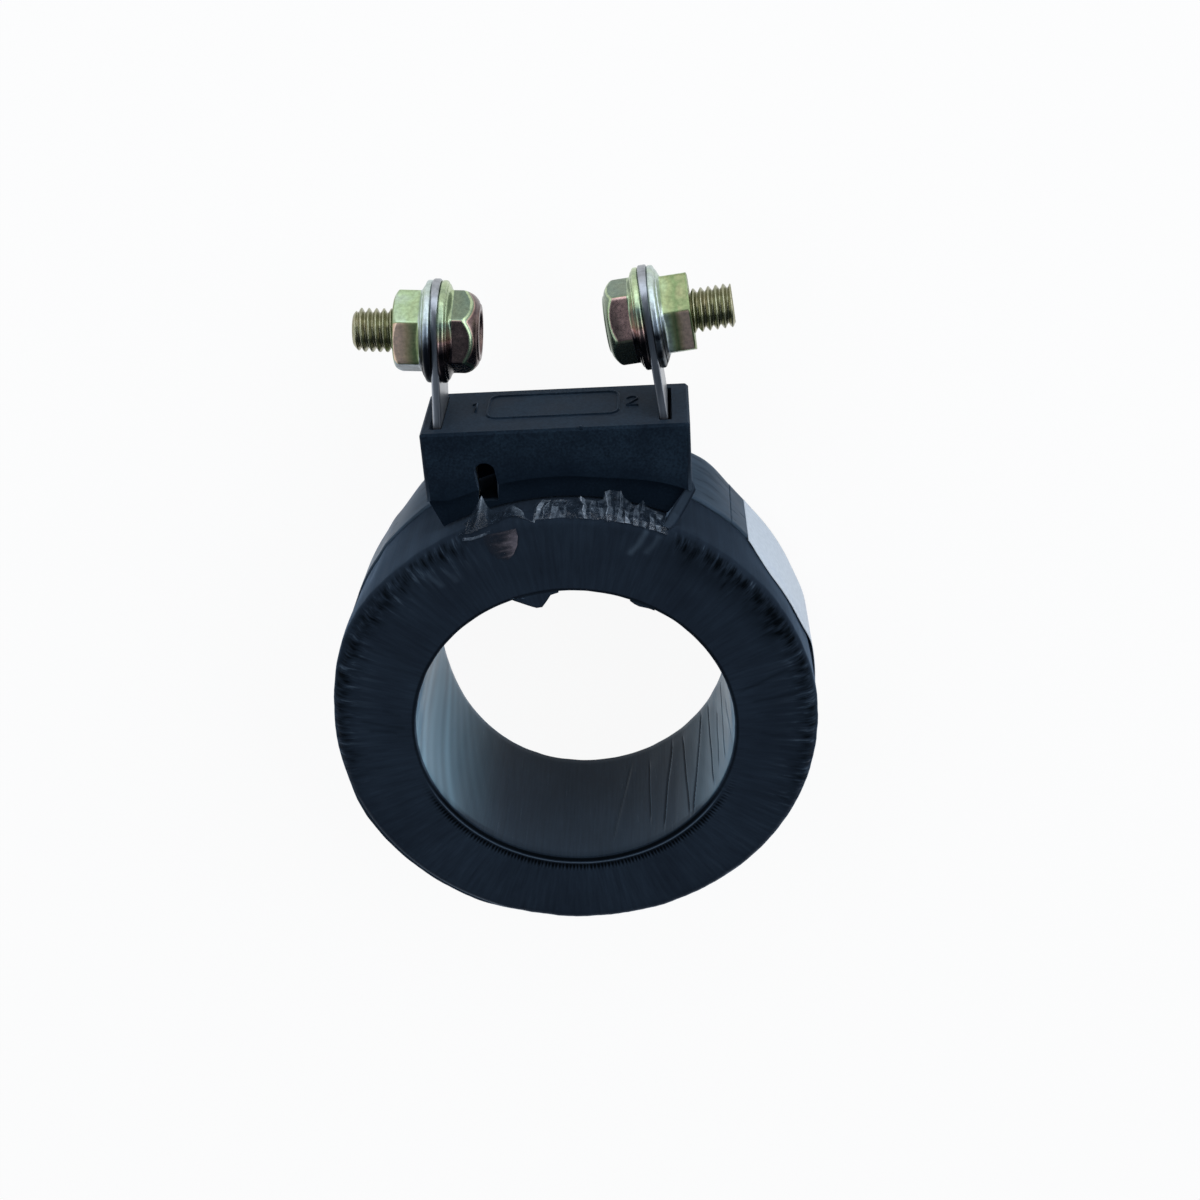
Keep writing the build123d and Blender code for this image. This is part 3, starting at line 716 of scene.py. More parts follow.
def makeFilmRing():
    outline, corner = ringSection()
    ridges, columns = filmRidges(), ringColumns()
    angles = [ridge[0] for ridge in ridges]
    leastRim, leastFace, leastCorner = (filmRing[key] for key in ("leastRim", "leastFace", "leastCorner"))
    arc, run = [], 0.0
    for i, point in enumerate(outline):
        arc.append(run)
        run += dist(point[:2], outline[(i + 1) % len(outline)][:2])
    verts, folds, gathers = [], [], []
    for turn in columns:
        ca, sa = cos(radians(turn)), sin(radians(turn))
        lumps = 0.1 * waver(ca * 4.0, sa * 4.0, 3.0) + 0.07 * waver(ca * 13, sa * 13, 8.0)
        fine = waver(ca * 62, sa * 62, 6.0)
        for i, (r, z, outR, outZ) in enumerate(outline):
            across = arc[corner] - arc[i]
            out, fold, gather = 0.0, 0.0, 0.0
            if -5.0 < across < 7.5:
                out, fold, gather = rimFolds(turn, across, fine, ridges, angles)
            if outR > 0.2:
                out += (lumps + rimRelief(turn, z)) * outR
            reliefs = []
            if outZ > 0.5 and r < 27 or outR < 0 and z > 12.5:
                reliefs.append(windowEdge(turn, r - filmRing["window"]))
            if outZ > 0.5:
                reliefs.append((0.05 * waver(ca * r * 0.35, sa * r * 0.35, 2.0), 0.0))
                # creases get painted shade, streaks a painted highlight, through the fold mark
                for lines, lift, tone, width in (("creases", -0.03, -1, 0.24), ("streaks", 0.04, 1, 0.4)):
                    near = sum(lineNear(turn, r, line, r, width)[0] for line in filmRing[lines])
                    reliefs.append((lift * near, tone * near))
            if outR < -0.5:
                reliefs.append(windowSide(turn, r, z))
            for lift, tone in reliefs:
                out += lift
                fold += tone
            if outZ > 0.5:
                out = min(out, filmRing["mostLift"])
            far, high = r + outR * out, z + outZ * out
            if outR > 0.2 and r > 30:
                if far < leastRim:
                    inward = max(0.0, far - leastRim + leastCorner)
                    cornerHigh = leastFace - leastCorner + sqrt(max(0.0, leastCorner ** 2 - inward ** 2))
                    high = max(high, min(z, cornerHigh))
                if outR > 0.95:
                    far = max(far, leastRim)
            elif outZ > 0.5:
                high = max(high, leastFace)
            if outR > 0.2:
                far = min(far, filmRing["boxHalf"] / max(abs(ca), abs(sa)))
            verts.append(onRing(turn, far, max(filmRing["back"], high)))
            folds.append(max(-1.0, min(1.0, fold)))
            gathers.append(gather)
    faces = joinRows(0, len(columns), len(outline))
    # an inner side, plainer, makes the wrap a skin and not a full ring
    section, steps = filmRing["innerSection"], filmRing["innerColumns"]
    faces += [face[::-1] for face in joinRows(len(verts), steps, len(section))]
    verts += [onRing(360 * k / steps, r, z) for k in range(steps) for r, z in section]
    rest = [0.0] * (steps * len(section))
    wrap = makePiece("film_wrap", verts, faces, filmTape, "black_film", ["outer_wrap"],
                     gathered=gathers + rest, fold=folds + rest)
    wrap.data.materials.append(filmSmooth)
    wrap.data.materials.append(filmRim)
    first, last = filmRing["rimPoints"]
    finish = [1 if i < filmRing["windowPoints"] else 2 if first <= i <= last else 0
              for i in range(len(outline))]
    wrap.data.polygons.foreach_set("material_index", finish * len(columns) + [0] * len(rest))
    return wrap


print("film wrap made,", len(makeFilmRing().data.polygons), "faces")


# What is seen of each fastener, in mm and degrees. Distances run along the stud from the lug's
# inner face, outwards through the nut; turns are those of a hexagon corner from the front.
fasteners = {
    "columns": 228, "seatToMount": 8.75, "lugThickness": 1.1, "cornerPower": 42,
    "apothem": 5.0, "flange": 6.8, "flangeEdge": 0.9, "flangeRise": 0.6, "neck": 5.2, "neckSlope": 2.4,
    "headHeight": 5.2, "crownEnd": 3.9, "crownRound": 0.35, "dish": 3.1, "dishDepth": 0.45,
    "nutHeight": 5.1, "bore": 2.70, "shank": 2.64,
    "pitch": 1.0, "crest": 2.94, "root": 2.32, "threadStart": 6.0, "threadStep": 0.075, "tip": 11.8,
    "headTurn": {1: 35.0, 2: 54.0}, "nutTurn": {1: 31.0, 2: 22.0},
    "crownDepth": {1: 2.2, 2: 1.5}, "nutChamfer": {1: 0.8, 2: 0.22}, "tipChamfer": {1: 0.95, 2: 0.3},
    # shade of each flat, from the one just above the front corner round over the top: at the flange and at
    # the far end;
    # partly the plating's colour, partly painted reflection
    "headShades": {1: [(0.24, 0.16), (0.3, 0.3), (0.4, 0.5), (0.55, 0.65), (0.93, 0.97), (0.85, 0.88)],
                   2: [(0.18, 0.14), (0.3, 0.3), (0.4, 0.5), (0.5, 0.55), (0.5, 0.48), (0.72, 0.86)]},
    "nutShades": {1: [(0.34, 0.3), (0.3, 0.3), (0.36, 0.4), (0.3, 0.25), (0.08, 0.1), (0.6, 0.95)],
                  2: [(0.4, 0.66), (0.3, 0.3), (0.36, 0.4), (0.3, 0.25), (0.2, 0.3), (0.24, 1.0)]},
    # crownShade is the crown's painted shade from what it mirrors
    "crownShade": {1: 0.9, 2: 0.2}, "threadShade": 0.48, "nutFaceShade": 0.56,
}
flangeBack = fasteners["flangeEdge"] + fasteners["flangeRise"]
hexCorner = fasteners["apothem"] / cos(radians(30))


def flatShade(shades, turn, phi, share):
    return mix(*shades[int(((phi - turn) % 360) // 60)], smoothStep(0.1, 0.75, share))


def paintedUnderShade(phi):
    # painted shade: 1 round the lower side of a flange, which is painted dark, 0 round its top
    return 1 - smoothStep(-0.1, 0.65, cos(radians(phi - 88)))


def studFrame(number):
    # the bolt's seat on the lug, its axis, and the direction square to it and to the front
    mount = mounts[f"terminal_stud_{number}"]
    axis = Vector(mount["axis"]).normalized()
    seat = Vector(mount["pos_m"]) - axis * fasteners["seatToMount"] * mm
    up = Vector((-axis.y, axis.x, 0)) if axis.x > 0 else Vector((axis.y, -axis.x, 0))
    return seat, axis, up


def hexRadius(phi, turn):
    # hexagon with slightly rounded corners
    power = fasteners["cornerPower"]
    reaches = [cos(radians(phi - turn - 30 - 60 * k)) for k in range(6)]
    return fasteners["apothem"] * sum(reach ** power for reach in reaches if reach > 0) ** (-1 / power)


def flangeRows(direction):
    # a flange from its sloping back round its edge to its seat: distance and radius
    radius, edge = fasteners["flange"], fasteners["flangeEdge"]
    rows = [(0.0, radius - 0.55), (0.0, radius - 0.3)]
    for a in [radians(15 * k) for k in range(1, 7)]:
        rows.append((0.28 * (1 - cos(a)), radius - 0.3 + 0.3 * sin(a)))
    for a in [radians(12.5 * k) for k in range(7)]:
        rows.append((edge - 0.35 + 0.35 * sin(a), radius - 0.35 + 0.35 * cos(a)))
    for t in (0.125, 0.25, 0.375):
        rows.append((edge + fasteners["flangeRise"] * t, mix(radius - 0.26, fasteners["neck"], t)))
    return [(direction * s, r) for s, r in reversed(rows)]


def hexRow(hexagon, cut, cutReach, fromNeck, mostNeck):
    # radii of a hexagon cut by a crown or a chamfer, running out into the flange's neck
    neck = min(fasteners["neck"] + 0.1 + fromNeck * fasteners["neckSlope"], mostNeck)
    return [softMax(softMin(radius, cut, cutReach), neck, 0.35) for radius in hexagon]


def turnedPiece(name, rows, stud, material, replaced, closed, shadeAt):
    # rows of (distance along the stud, radius by column), joined into a skin
    seat, axis, up = stud
    columns = fasteners["columns"]
    turns = [2 * pi * k / columns for k in range(columns)]
    spokes = [Vector((0, 0, 1)) * cos(turn) + up * sin(turn) for turn in turns]
    verts, shades = [], []
    for s, radii in rows:
        for k in range(columns):
            r = radii[k] if isinstance(radii, list) else radii
            verts.append(seat + axis * s * mm + spokes[k] * r * mm)
            shades.append(shadeAt(s, 360 * k / columns))
    faces = [(a, d, c, b) for a, b, c, d in joinRows(0, len(rows), columns, closed)]
    for row in () if closed else (0, len(rows) - 1):
        faces += [(len(verts), row * columns + k, row * columns + (k + 1) % columns) for k in range(columns)]
        verts.append(seat + axis * rows[row][0] * mm)
        shades.append(shadeAt(rows[row][0], 0))
    makePiece(name, verts, faces, material, "yellow_zinc", replaced, shade=shades)


def makeBolt(number):
    columns = fasteners["columns"]
    turn, height = fasteners["headTurn"][number], fasteners["headHeight"]
    hexagon = [hexRadius(360 * k / columns, turn) for k in range(columns)]
    dish, dishDepth, crownEnd, rounding = (
        fasteners[key] for key in ("dish", "dishDepth", "crownEnd", "crownRound"))
    floor, lip = -height + dishDepth, dish - dishDepth
    rows = [(floor, lip - 1.2), (floor, lip - 0.1)]
    for t in (0, 0.2, 0.4, 0.6, 0.8, 1):
        rows.append((-height + dishDepth * (1 - smoothStep(0, 1, t)), lip + dishDepth * t))
    rows += [(-height, dish + 0.3), (-height, crownEnd - rounding)]
    for a in [radians(12 * k) for k in range(1, 6)]:  # rounded shoulder of the end face
        rows.append((-height + rounding * (1 - cos(a)), crownEnd - rounding + rounding * sin(a)))
    shoulder, shoulderRadius = rounding * (1 - cos(radians(60))), rows[-1][1]
    neckAt = height - flangeBack

    def crownRadius(d):  # domed cut, by distance from the end face
        share = (d - shoulder) / (fasteners["crownDepth"][number] - shoulder)
        return mix(shoulderRadius, hexCorner + 0.08, max(0.0, min(1.6, share)) ** 0.62)

    for k in range(1, 34):  # crown cut across the hexagon's corners, then its flats
        d = mix(shoulder, neckAt + 0.55, k / 33)
        rows.append((-height + d, hexRow(hexagon, crownRadius(d), 0.3, d - neckAt, 6.4)))
    rows += flangeRows(-1)
    pitch, crest, root, start, tip, shank = (
        fasteners[key] for key in ("pitch", "crest", "root", "threadStart", "tip", "shank"))
    rows += [(0.0, shank + 0.3), (0.3, shank), (start - 0.05, shank)]
    chamfer = fasteners["tipChamfer"][number]
    steps = int((tip - start) / fasteners["threadStep"])
    for s in [mix(start, tip, i / steps) for i in range(steps + 1)]:
        limit = crest - chamfer * 0.85 * (1 - min(1.0, (tip - s) / chamfer)) ** 1.5
        waves = [1 - abs(2 * ((s / pitch - k / columns) % 1.0) - 1) for k in range(columns)]  # 1 on the crest
        flanks = [mix(root, crest, min(1.0, max(0.0, (wave - 0.1) / 0.78))) for wave in waves]
        rows.append((s, [softMin(flank, limit, 0.1) for flank in flanks]))
    rows.append((tip, max(1.2, crest - chamfer - 0.25)))

    def shadeAt(s, phi):
        if s > 0.5:
            return fasteners["threadShade"]
        # painted highlight round the flange's top, painted shade round its lower side
        if s > -flangeBack - 0.3:
            return 0.03 + 0.95 * paintedUnderShade(phi)
        onFlat = crownRadius(s + height) - hexRadius(phi, turn)
        # painted highlight along the crown's edge, then the crown's painted shade
        if onFlat < 0.14:
            return mix(0.02, fasteners["crownShade"][number], smoothStep(-0.1, -0.42, onFlat))
        return flatShade(fasteners["headShades"][number], turn, phi, (-s - flangeBack) / neckAt)

    turnedPiece(f"flange_bolt_{number}", rows, studFrame(number), boltZinc, [f"terminal_bolt_{number}"],
                False, shadeAt)


def makeNut(number):
    seat, axis, up = studFrame(number)
    columns, turn = fasteners["columns"], fasteners["nutTurn"][number]
    hexagon = [hexRadius(360 * k / columns, turn) for k in range(columns)]
    height, bore, chamfer = fasteners["nutHeight"], fasteners["bore"], fasteners["nutChamfer"][number]
    full, neckAt = hexCorner + 0.04, height - flangeBack
    faceEdge = min(full - chamfer * 1.5, fasteners["apothem"]) - 0.2
    rows = [(0.05, bore), (height - 0.45, bore), (height - 0.08, bore + 0.36), (height, bore + 0.5),
            (height, faceEdge)]
    for d in [(neckAt + 0.5) * (k / 29) ** 1.6 for k in range(30)]:
        cut = full - chamfer * 1.5 * max(0.0, 1 - (d / chamfer) ** 0.8)
        rows.append((height - d, hexRow(hexagon, cut, 0.1, d - neckAt, 6.3)))
    rows += flangeRows(1) + [(0.0, bore + 0.4)]

    def shadeAt(s, phi):
        # painted shade round the flange's lower side, silver at its top
        if s < flangeBack:
            return 0.2 - 0.2 * paintedUnderShade(phi)
        if s > height - 0.22:
            return fasteners["nutFaceShade"]
        return flatShade(fasteners["nutShades"][number], turn, phi, (s - flangeBack) / neckAt)

    stud = (seat + axis * fasteners["lugThickness"] * mm, axis, up)
    turnedPiece(f"flange_nut_{number}", rows, stud, nutZinc, [f"terminal_nut_{number}"], True, shadeAt)


for number in (1, 2):
    makeBolt(number)
    makeNut(number)
print("bolts and nuts made")


# width in mm and steps of each rounded edge; only edges that turn more than the angle have one
softEdges = {
    "terminal_lug_1": (0.28, 3), "terminal_lug_2": (0.2, 3), "terminal_block": (0.14, 2), "leastTurn": 28,
}
# the recess over the ring meets the block's faces in a flatter line than a true arch, left crisp
recessEdge = {"radius": 40.2, "drop": 1.2}


def lowerArch(bm):
    edge = set()
    for vert in bm.verts:
        x, y = vert.co.x / mm, vert.co.y / mm
        radius = hypot(x, y)
        if y > 30 and abs(radius - recessEdge["radius"]) < 0.08:
            drop = recessEdge["drop"] * (1 - smoothStep(5, 17.5, x)) * (1 - smoothStep(15, 18, -x))
            vert.co.x *= (radius - drop) / radius
            vert.co.y *= (radius - drop) / radius
            edge.add(vert)
    return edge


def roundedCopy(nodeName, pieceName, material):
    # the node's own shape with its sharp edges rolled off
    width, segments = softEdges[nodeName]
    mesh = nodes[nodeName].data.copy()
    bm = bmesh.new()
    bm.from_mesh(mesh)
    bmesh.ops.remove_doubles(bm, verts=bm.verts, dist=0.002 * mm)
    bmesh.ops.dissolve_limit(bm, angle_limit=radians(1.5), verts=bm.verts, edges=bm.edges)
    crisp = lowerArch(bm) if nodeName == "terminal_block" else set()
    weights = bm.edges.layers.float.new("bevel_weight_edge")
    for edge in bm.edges:
        if edge.calc_face_angle(0.0) > radians(softEdges["leastTurn"]) and not crisp.issuperset(edge.verts):
            edge[weights] = 1.0
    bm.to_mesh(mesh)
    bm.free()
    mesh.materials.clear()
    mesh.materials.append(material)
    mesh.polygons.foreach_set("use_smooth", [True] * len(mesh.polygons))
    piece = link(pieceName, mesh)
    bevel = piece.modifiers.new("edges", "BEVEL")
    bevel.width = width * mm
    bevel.segments = segments
    bevel.limit_method = "WEIGHT"
    bevel.miter_outer = "MITER_ARC"
    piece.modifiers.new("normals", "WEIGHTED_NORMAL").keep_sharp = False
    bpy.context.view_layer.update()
    baked = bpy.data.meshes.new_from_object(piece.evaluated_get(bpy.context.evaluated_depsgraph_get()))
    piece.modifiers.clear()
    piece.data = baked
    baked.name = pieceName
    settle(piece, [nodeName])


roundedCopy("terminal_lug_1", "left_lug", tinPlate)
roundedCopy("terminal_lug_2", "right_lug", tinPlate)
roundedCopy("terminal_block", "terminal_saddle", blockPlastic)
print("lugs and block made")


# Band wound round the rear half of the rim; its front edge runs skew and a little wavy, and
# dips clear of the block's notch.
rimTape = {
    "columns": 300, "rows": 26, "back": -12.0, "frontMiddle": -1.45, "skew": 2.3, "skewAngle": 20.0,
    "thickness": 0.3, "most": 0.38, "wave": 0.16, "notchDip": 2.4, "notchAngle": 108,
    "seamAngle": 48.2, "seamDepth": 0.16, "seamWidth": 0.16, "seamRadius": 35.3,
}
# Blank label stuck on the band: slanted end, front edge lifted where it leaves the band.
ratingPlate = {
    "columns": 90, "rows": 40, "firstAngle": -10.0, "lastAngle": 42.8, "slant": -0.02,
    "back": -11.4, "radius": 35.505, "thickness": 0.11, "lift": 0.12, "sink": 0.22, "most": 35.615,
}


def rimRadius(turn, z):
    return filmRing["rim"] + rimRelief(turn, z)  # radius of the film under the band


def bandFront(turn):
    wave = waver(cos(radians(turn)) * 3, sin(radians(turn)) * 3, 5.0)
    dip = rimTape["notchDip"] * (1 - smoothStep(4, 9, abs(turn - rimTape["notchAngle"])))
    skew = rimTape["skew"] * cos(radians(turn - rimTape["skewAngle"]))
    return rimTape["frontMiddle"] + skew + rimTape["wave"] * wave - dip


def thinning(turn):
    return 0.12 * plateau(10, 18, 40, 50, turn)  # the band and the label lie closer here


def makeBand():
    seam, span = rimTape["seamAngle"], degree * (rimTape["seamWidth"] / rimTape["seamRadius"])
    angles = [360 * k / rimTape["columns"] for k in range(rimTape["columns"])]
    angles = [a for a in angles if abs(a - seam) > span * 2.2]
    angles = sorted(angles + [seam + span * t for t in (-2, -1, -0.5, -0.25, 0, 0.25, 0.5, 1, 2)])
    back, rows = rimTape["back"], rimTape["rows"]
    verts = []
    for turn in angles:
        front = bandFront(turn)
        groove = rimTape["seamDepth"] * max(0.0, 1 - abs(turn - seam) / (span * 0.6))
        layer = 0.07 * smoothStep(seam, seam - span, turn) * (1 - smoothStep(12, 22, abs(turn - seam)))
        for z in [mix(back, front, k / (rows - 1)) for k in range(rows)]:
            roll = 0.13 * (1 - smoothStep(0.0, 0.3, min(z - back, front - z)))
            ripple = 0.045 * waver(cos(radians(turn)) * 2.2, sin(radians(turn)) * 2.2, z * 0.35)
            lift = 0.06 + rimTape["thickness"] - roll - groove + layer + ripple - thinning(turn)
            verts.append(onRing(turn, rimRadius(turn, z) + min(lift, rimTape["most"]), z))
        verts.append(onRing(turn, rimRadius(turn, front) - 0.1, front + 0.02))
        verts.append(onRing(turn, rimRadius(turn, back) - 0.1, back - 0.02))
    makePiece("rim_tape", verts, joinRows(0, len(angles), rows + 2), bandPlastic, "grey_band", ["rim_band"])


def makeLabel():
    columns, rows, back = ratingPlate["columns"], ratingPlate["rows"], ratingPlate["back"]
    verts = []
    for side in (1, 0):
        for u in [i / columns for i in range(columns + 1)]:
            base = mix(ratingPlate["firstAngle"], ratingPlate["lastAngle"], u)
            edge = 1.5 + 3.8 * (1 - smoothStep(33.5, 43.0, base)) - 4.3 * (1 - smoothStep(6, 25, base))
            for v in [j / rows for j in range(rows + 1)]:
                z = mix(back, edge, v)
                turn = base + ratingPlate["slant"] * (z + 3.0) * u ** 4
                front = bandFront(turn)
                over = smoothStep(front + 0.2, front + 1.8, z)  # where it leaves the band
                r = ratingPlate["radius"] + side * ratingPlate["thickness"]
                r += min(0.0, rimRelief(turn, z)) - thinning(turn)
                r += (ratingPlate["lift"] * smoothStep(0.8, 1.0, v) - ratingPlate["sink"]) * over
                r += 0.03 * waver(u * 7, v * 5, 3.0) * smoothStep(0, 0.2, v)
                verts.append(onRing(turn, min(r, ratingPlate["most"]), z))
    makePiece("blank_label", verts, sheetFaces(columns, rows), labelStock, "label_paper", ["rating_label"])


makeBand()
makeLabel()
print("band and label made")


# Moulded relief on the block's top: a plain rounded frame, the terminal numbers, a gate nib.
topMarks = {
    "ribWidth": 0.42, "ribHeight": 0.2, "frame": (-9.4, 8.5, -2.6, 5.2), "frameCorner": 1.5,
    "numeralHeight": 3.0, "numeralRib": 0.34, "numeralPlaces": {1: (-11.1, 1.3), 2: (10.4, 1.2)},
    # shares of a rib's width and of its height, from one side to the other
    "profile": [(-0.5, -0.12), (-0.47, 0.3), (-0.3, 0.8), (0.0, 1.0), (0.3, 0.8), (0.47, 0.3), (0.5, -0.12)],
    "nib": (3.6, 0.9, 0.22), "nibRings": 5, "nibColumns": 14, "nibSeed": 5,
}
blockHigh = Vector(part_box("terminal_block")[1]) / mm


def addRib(verts, faces, path, width, closed):
    # a low rounded rib that follows a path of (x, z) points on the block's top
    count, size, start = len(path), len(topMarks["profile"]), len(verts)
    for k, (x, z) in enumerate(path):
        before = path[k - 1 if closed or k > 0 else k]
        after = path[(k + 1) % count if closed or k < count - 1 else k]
        run = (Vector(after) - Vector(before)).normalized()
        for offset, lift in topMarks["profile"]:
            verts.append(Vector((x - run.y * offset * width, blockHigh.y + lift * topMarks["ribHeight"],
                                 z + run.x * offset * width)) * mm)
    faces += joinRows(start, count, size, closed)
    if not closed:
        faces += [tuple(range(end, end + size)) for end in (start, start + (count - 1) * size)]


def arcPath(cx, cz, radius, startAngle, endAngle, steps):
    turns = [radians(mix(startAngle, endAngle, k / steps)) for k in range(steps + 1)]
    return [(cx + radius * cos(turn), cz + radius * sin(turn)) for turn in turns]


def makeTopMarks():
    verts, faces = [], []
    left, right, back, front = topMarks["frame"]
    corner, tall, rib = topMarks["frameCorner"], topMarks["numeralHeight"], topMarks["numeralRib"]
    left, right, back, front = left + corner, right - corner, back + corner, front - corner
    frameCorners = ((left, back, 180), (right, back, 270), (right, front, 0), (left, front, 90))
    path = [point for cx, cz, turn in frameCorners for point in arcPath(cx, cz, corner, turn, turn + 90, 8)]
    addRib(verts, faces, path, topMarks["ribWidth"], True)
    x, z = topMarks["numeralPlaces"][1]  # the numbers read from the front, their feet towards it
    one = [(x - 0.55, z - tall * 0.3), (x, z - tall * 0.5), (x, z), (x, z + tall * 0.5)]
    addRib(verts, faces, one, rib, False)
    x, z = topMarks["numeralPlaces"][2]
    two = arcPath(x, z - tall * 0.27, tall * 0.23, 190, 380, 14)
    two += [(x - tall * 0.1, z + tall * 0.22), (x - tall * 0.26, z + tall * 0.47)]
    addRib(verts, faces, two, rib, False)
    addRib(verts, faces, [(x - tall * 0.28, z + tall * 0.5), (x + tall * 0.27, z + tall * 0.5)], rib, False)
    makePiece("block_top_marks", verts, faces, blockPlastic, "block_plastic")


def makeNib():
    # stub left where the mould's gate was broken off, on the top front edge
    x, width, height = topMarks["nib"]
    rings, around = topMarks["nibRings"], topMarks["nibColumns"]
    rng = random.Random(topMarks["nibSeed"])
    verts = []
    for t in [i / (rings - 1) for i in range(rings)]:
        for a in [2 * pi * k / around for k in range(around)]:
            r = width * 0.5 * (1 - 0.6 * t) * (1 + rng.uniform(-0.12, 0.12))
            verts.append(((x + r * cos(a)) * mm, (blockHigh.y - 0.25 + height * 2 * t) * mm,
                          (blockHigh.z - 0.3 + r * 0.6 * sin(a)) * mm))
    faces = [(a, d, c, b) for a, b, c, d in joinRows(0, rings, around, False)]
    faces += [tuple(range(end, end + around)) for end in (0, (rings - 1) * around)]
    makePiece("gate_nib", verts, faces, blockPlastic, "block_plastic")


makeTopMarks()
makeNib()
print("block marks made")


# Clear tape that holds the film's end in front of the block, crumpled into sharp folds on the rim's ledge.
# Folds are (x at the face, x at the torn edge, height of that edge over the rim, how far the fold is
# pushed out, how strong its painted glint is), lengths in mm.
clearTape = {
    "folds": [(-3.6, -3.0, 0.15, 0.0, 0.6), (-3.1, -2.3, 0.55, 0.22, 0.85), (-2.75, -1.9, 0.35, 0.0, 0.45),
              (-2.2, -1.1, 0.4, 0.2, 0.8), (-1.7, -0.9, 0.3, 0.0, 0.5), (-1.2, -0.2, 0.35, 0.16, 0.7),
              (-0.4, 0.3, 0.3, 0.0, 0.5), (0.7, 1.3, 0.3, 0.12, 0.55), (1.7, 1.9, 0.3, 0.0, 0.45),
              (2.9, 2.3, 0.35, 0.1, 0.5), (3.4, 2.9, 0.9, 0.3, 0.95), (3.7, 3.6, 0.35, 0.0, 0.5),
              (4.2, 4.7, 0.3, 0.2, 0.7), (4.9, 5.0, 0.2, 0.0, 0.5), (5.7, 5.3, 0.25, 0.14, 0.6),
              (6.2, 6.0, 0.6, 0.0, 0.5), (6.6, 6.3, 1.9, 0.3, 0.9), (7.3, 6.9, 2.1, 0.0, 0.4),
              (7.7, 8.0, 2.2, 0.2, 0.55), (8.0, 8.6, 2.4, 0.32, 0.75), (8.6, 8.9, 1.5, 0.0, 0.5),
              (8.8, 9.6, 0.8, 0.3, 0.75), (9.5, 9.8, 0.5, 0.0, 0.45), (9.9, 10.6, 0.6, 0.26, 0.6),
              (10.7, 10.8, 0.9, 0.0, 0.45), (11.0, 11.3, 1.7, 0.24, 0.6), (11.8, 11.6, 1.1, 0.05, 0.4),
              (12.2, 12.6, 0.6, 0.26, 0.6), (12.6, 13.1, 0.3, 0.0, 0.35), (13.1, 13.3, 0.45, 0.25, 0.65),
              (13.5, 14.3, 0.15, 0.1, 0.35), (14.6, 14.9, 0.0, 0.0, 0.3)],
    # from the face over the rim's corner, back along the rim: radius, height, and how far a
    # pushed fold moves each of them; then the torn edge that stands up
    "path": [(34.35, 13.12, 0.2, 0.0), (35.02, 12.6, 0.6, 0.05), (35.25, 11.4, 1.0, 0.15),
             (35.3, 10.0, 0.8, 0.3)],
    "standRadius": 35.3, "standZ": 9.92, "standPush": 0.9,
    "grid": 5, "jog": 0.2, "crestWidth": 0.24, "seed": 23,
}


def foldPoint(fold, row):
    xLow, xHigh, height, push, glint = fold
    path = clearTape["path"]
    x = mix(xLow, xHigh, (row / len(path)) ** 1.4)
    if row == len(path):
        return Vector((x, sqrt(clearTape["standRadius"] ** 2 - x * x) + height,
                       clearTape["standZ"] + push * clearTape["standPush"]))
    r, z, outShare, upShare = path[row]
    return Vector((x, sqrt((r + push * outShare) ** 2 - x * x), z + upShare * push))


def makeClearTape():
    rng = random.Random(clearTape["seed"])
    rows, grid, jog = len(clearTape["path"]), clearTape["grid"], clearTape["jog"]
    verts, faces, gleams, lines = [], [], [], []
    for fold in clearTape["folds"]:
        jogs = [(rng.uniform(-jog, jog), 0, rng.uniform(-jog, jog) if row < rows else 0)
                for row in range(rows + 1)]
        lines.append([foldPoint(fold, row) + Vector(jogs[row]) for row in range(rows + 1)])
    for k, pair in enumerate(zip(clearTape["folds"], clearTape["folds"][1:])):
        for row in range(rows):
            # painted highlight: each panel gets a glint level, raised along the crests of pushed folds and on
            # dents
            panel = pair[0][4] * rng.uniform(0.35, 0.95)
            crests = [fold[4] * (rng.uniform(0.45, 1.05) if fold[3] > 0.1 else 0.4) for fold in pair]
            faces += joinRows(len(verts), grid + 1, grid + 1, False, False)
            for u, v in [(i / grid, j / grid) for i in range(grid + 1) for j in range(grid + 1)]:
                low, high = [lines[k][end].lerp(lines[k + 1][end], u) for end in (row, row + 1)]
                point = low.lerp(high, v)
                dent = waver(*point * 1.7) * 16 * u * (1 - u) * v * (1 - v)
                verts.append((point + Vector((0, 0.12, 0.08)) * dent) * mm)
                near = [crest * bell(away, clearTape["crestWidth"])
                        for crest, away in zip(crests, (u, 1 - u))]
                gleams.append(max(panel, *near) + 0.4 * dent)
    makePiece("crumpled_tape", verts, faces, clearFilm, "clear_film", gleam=gleams)
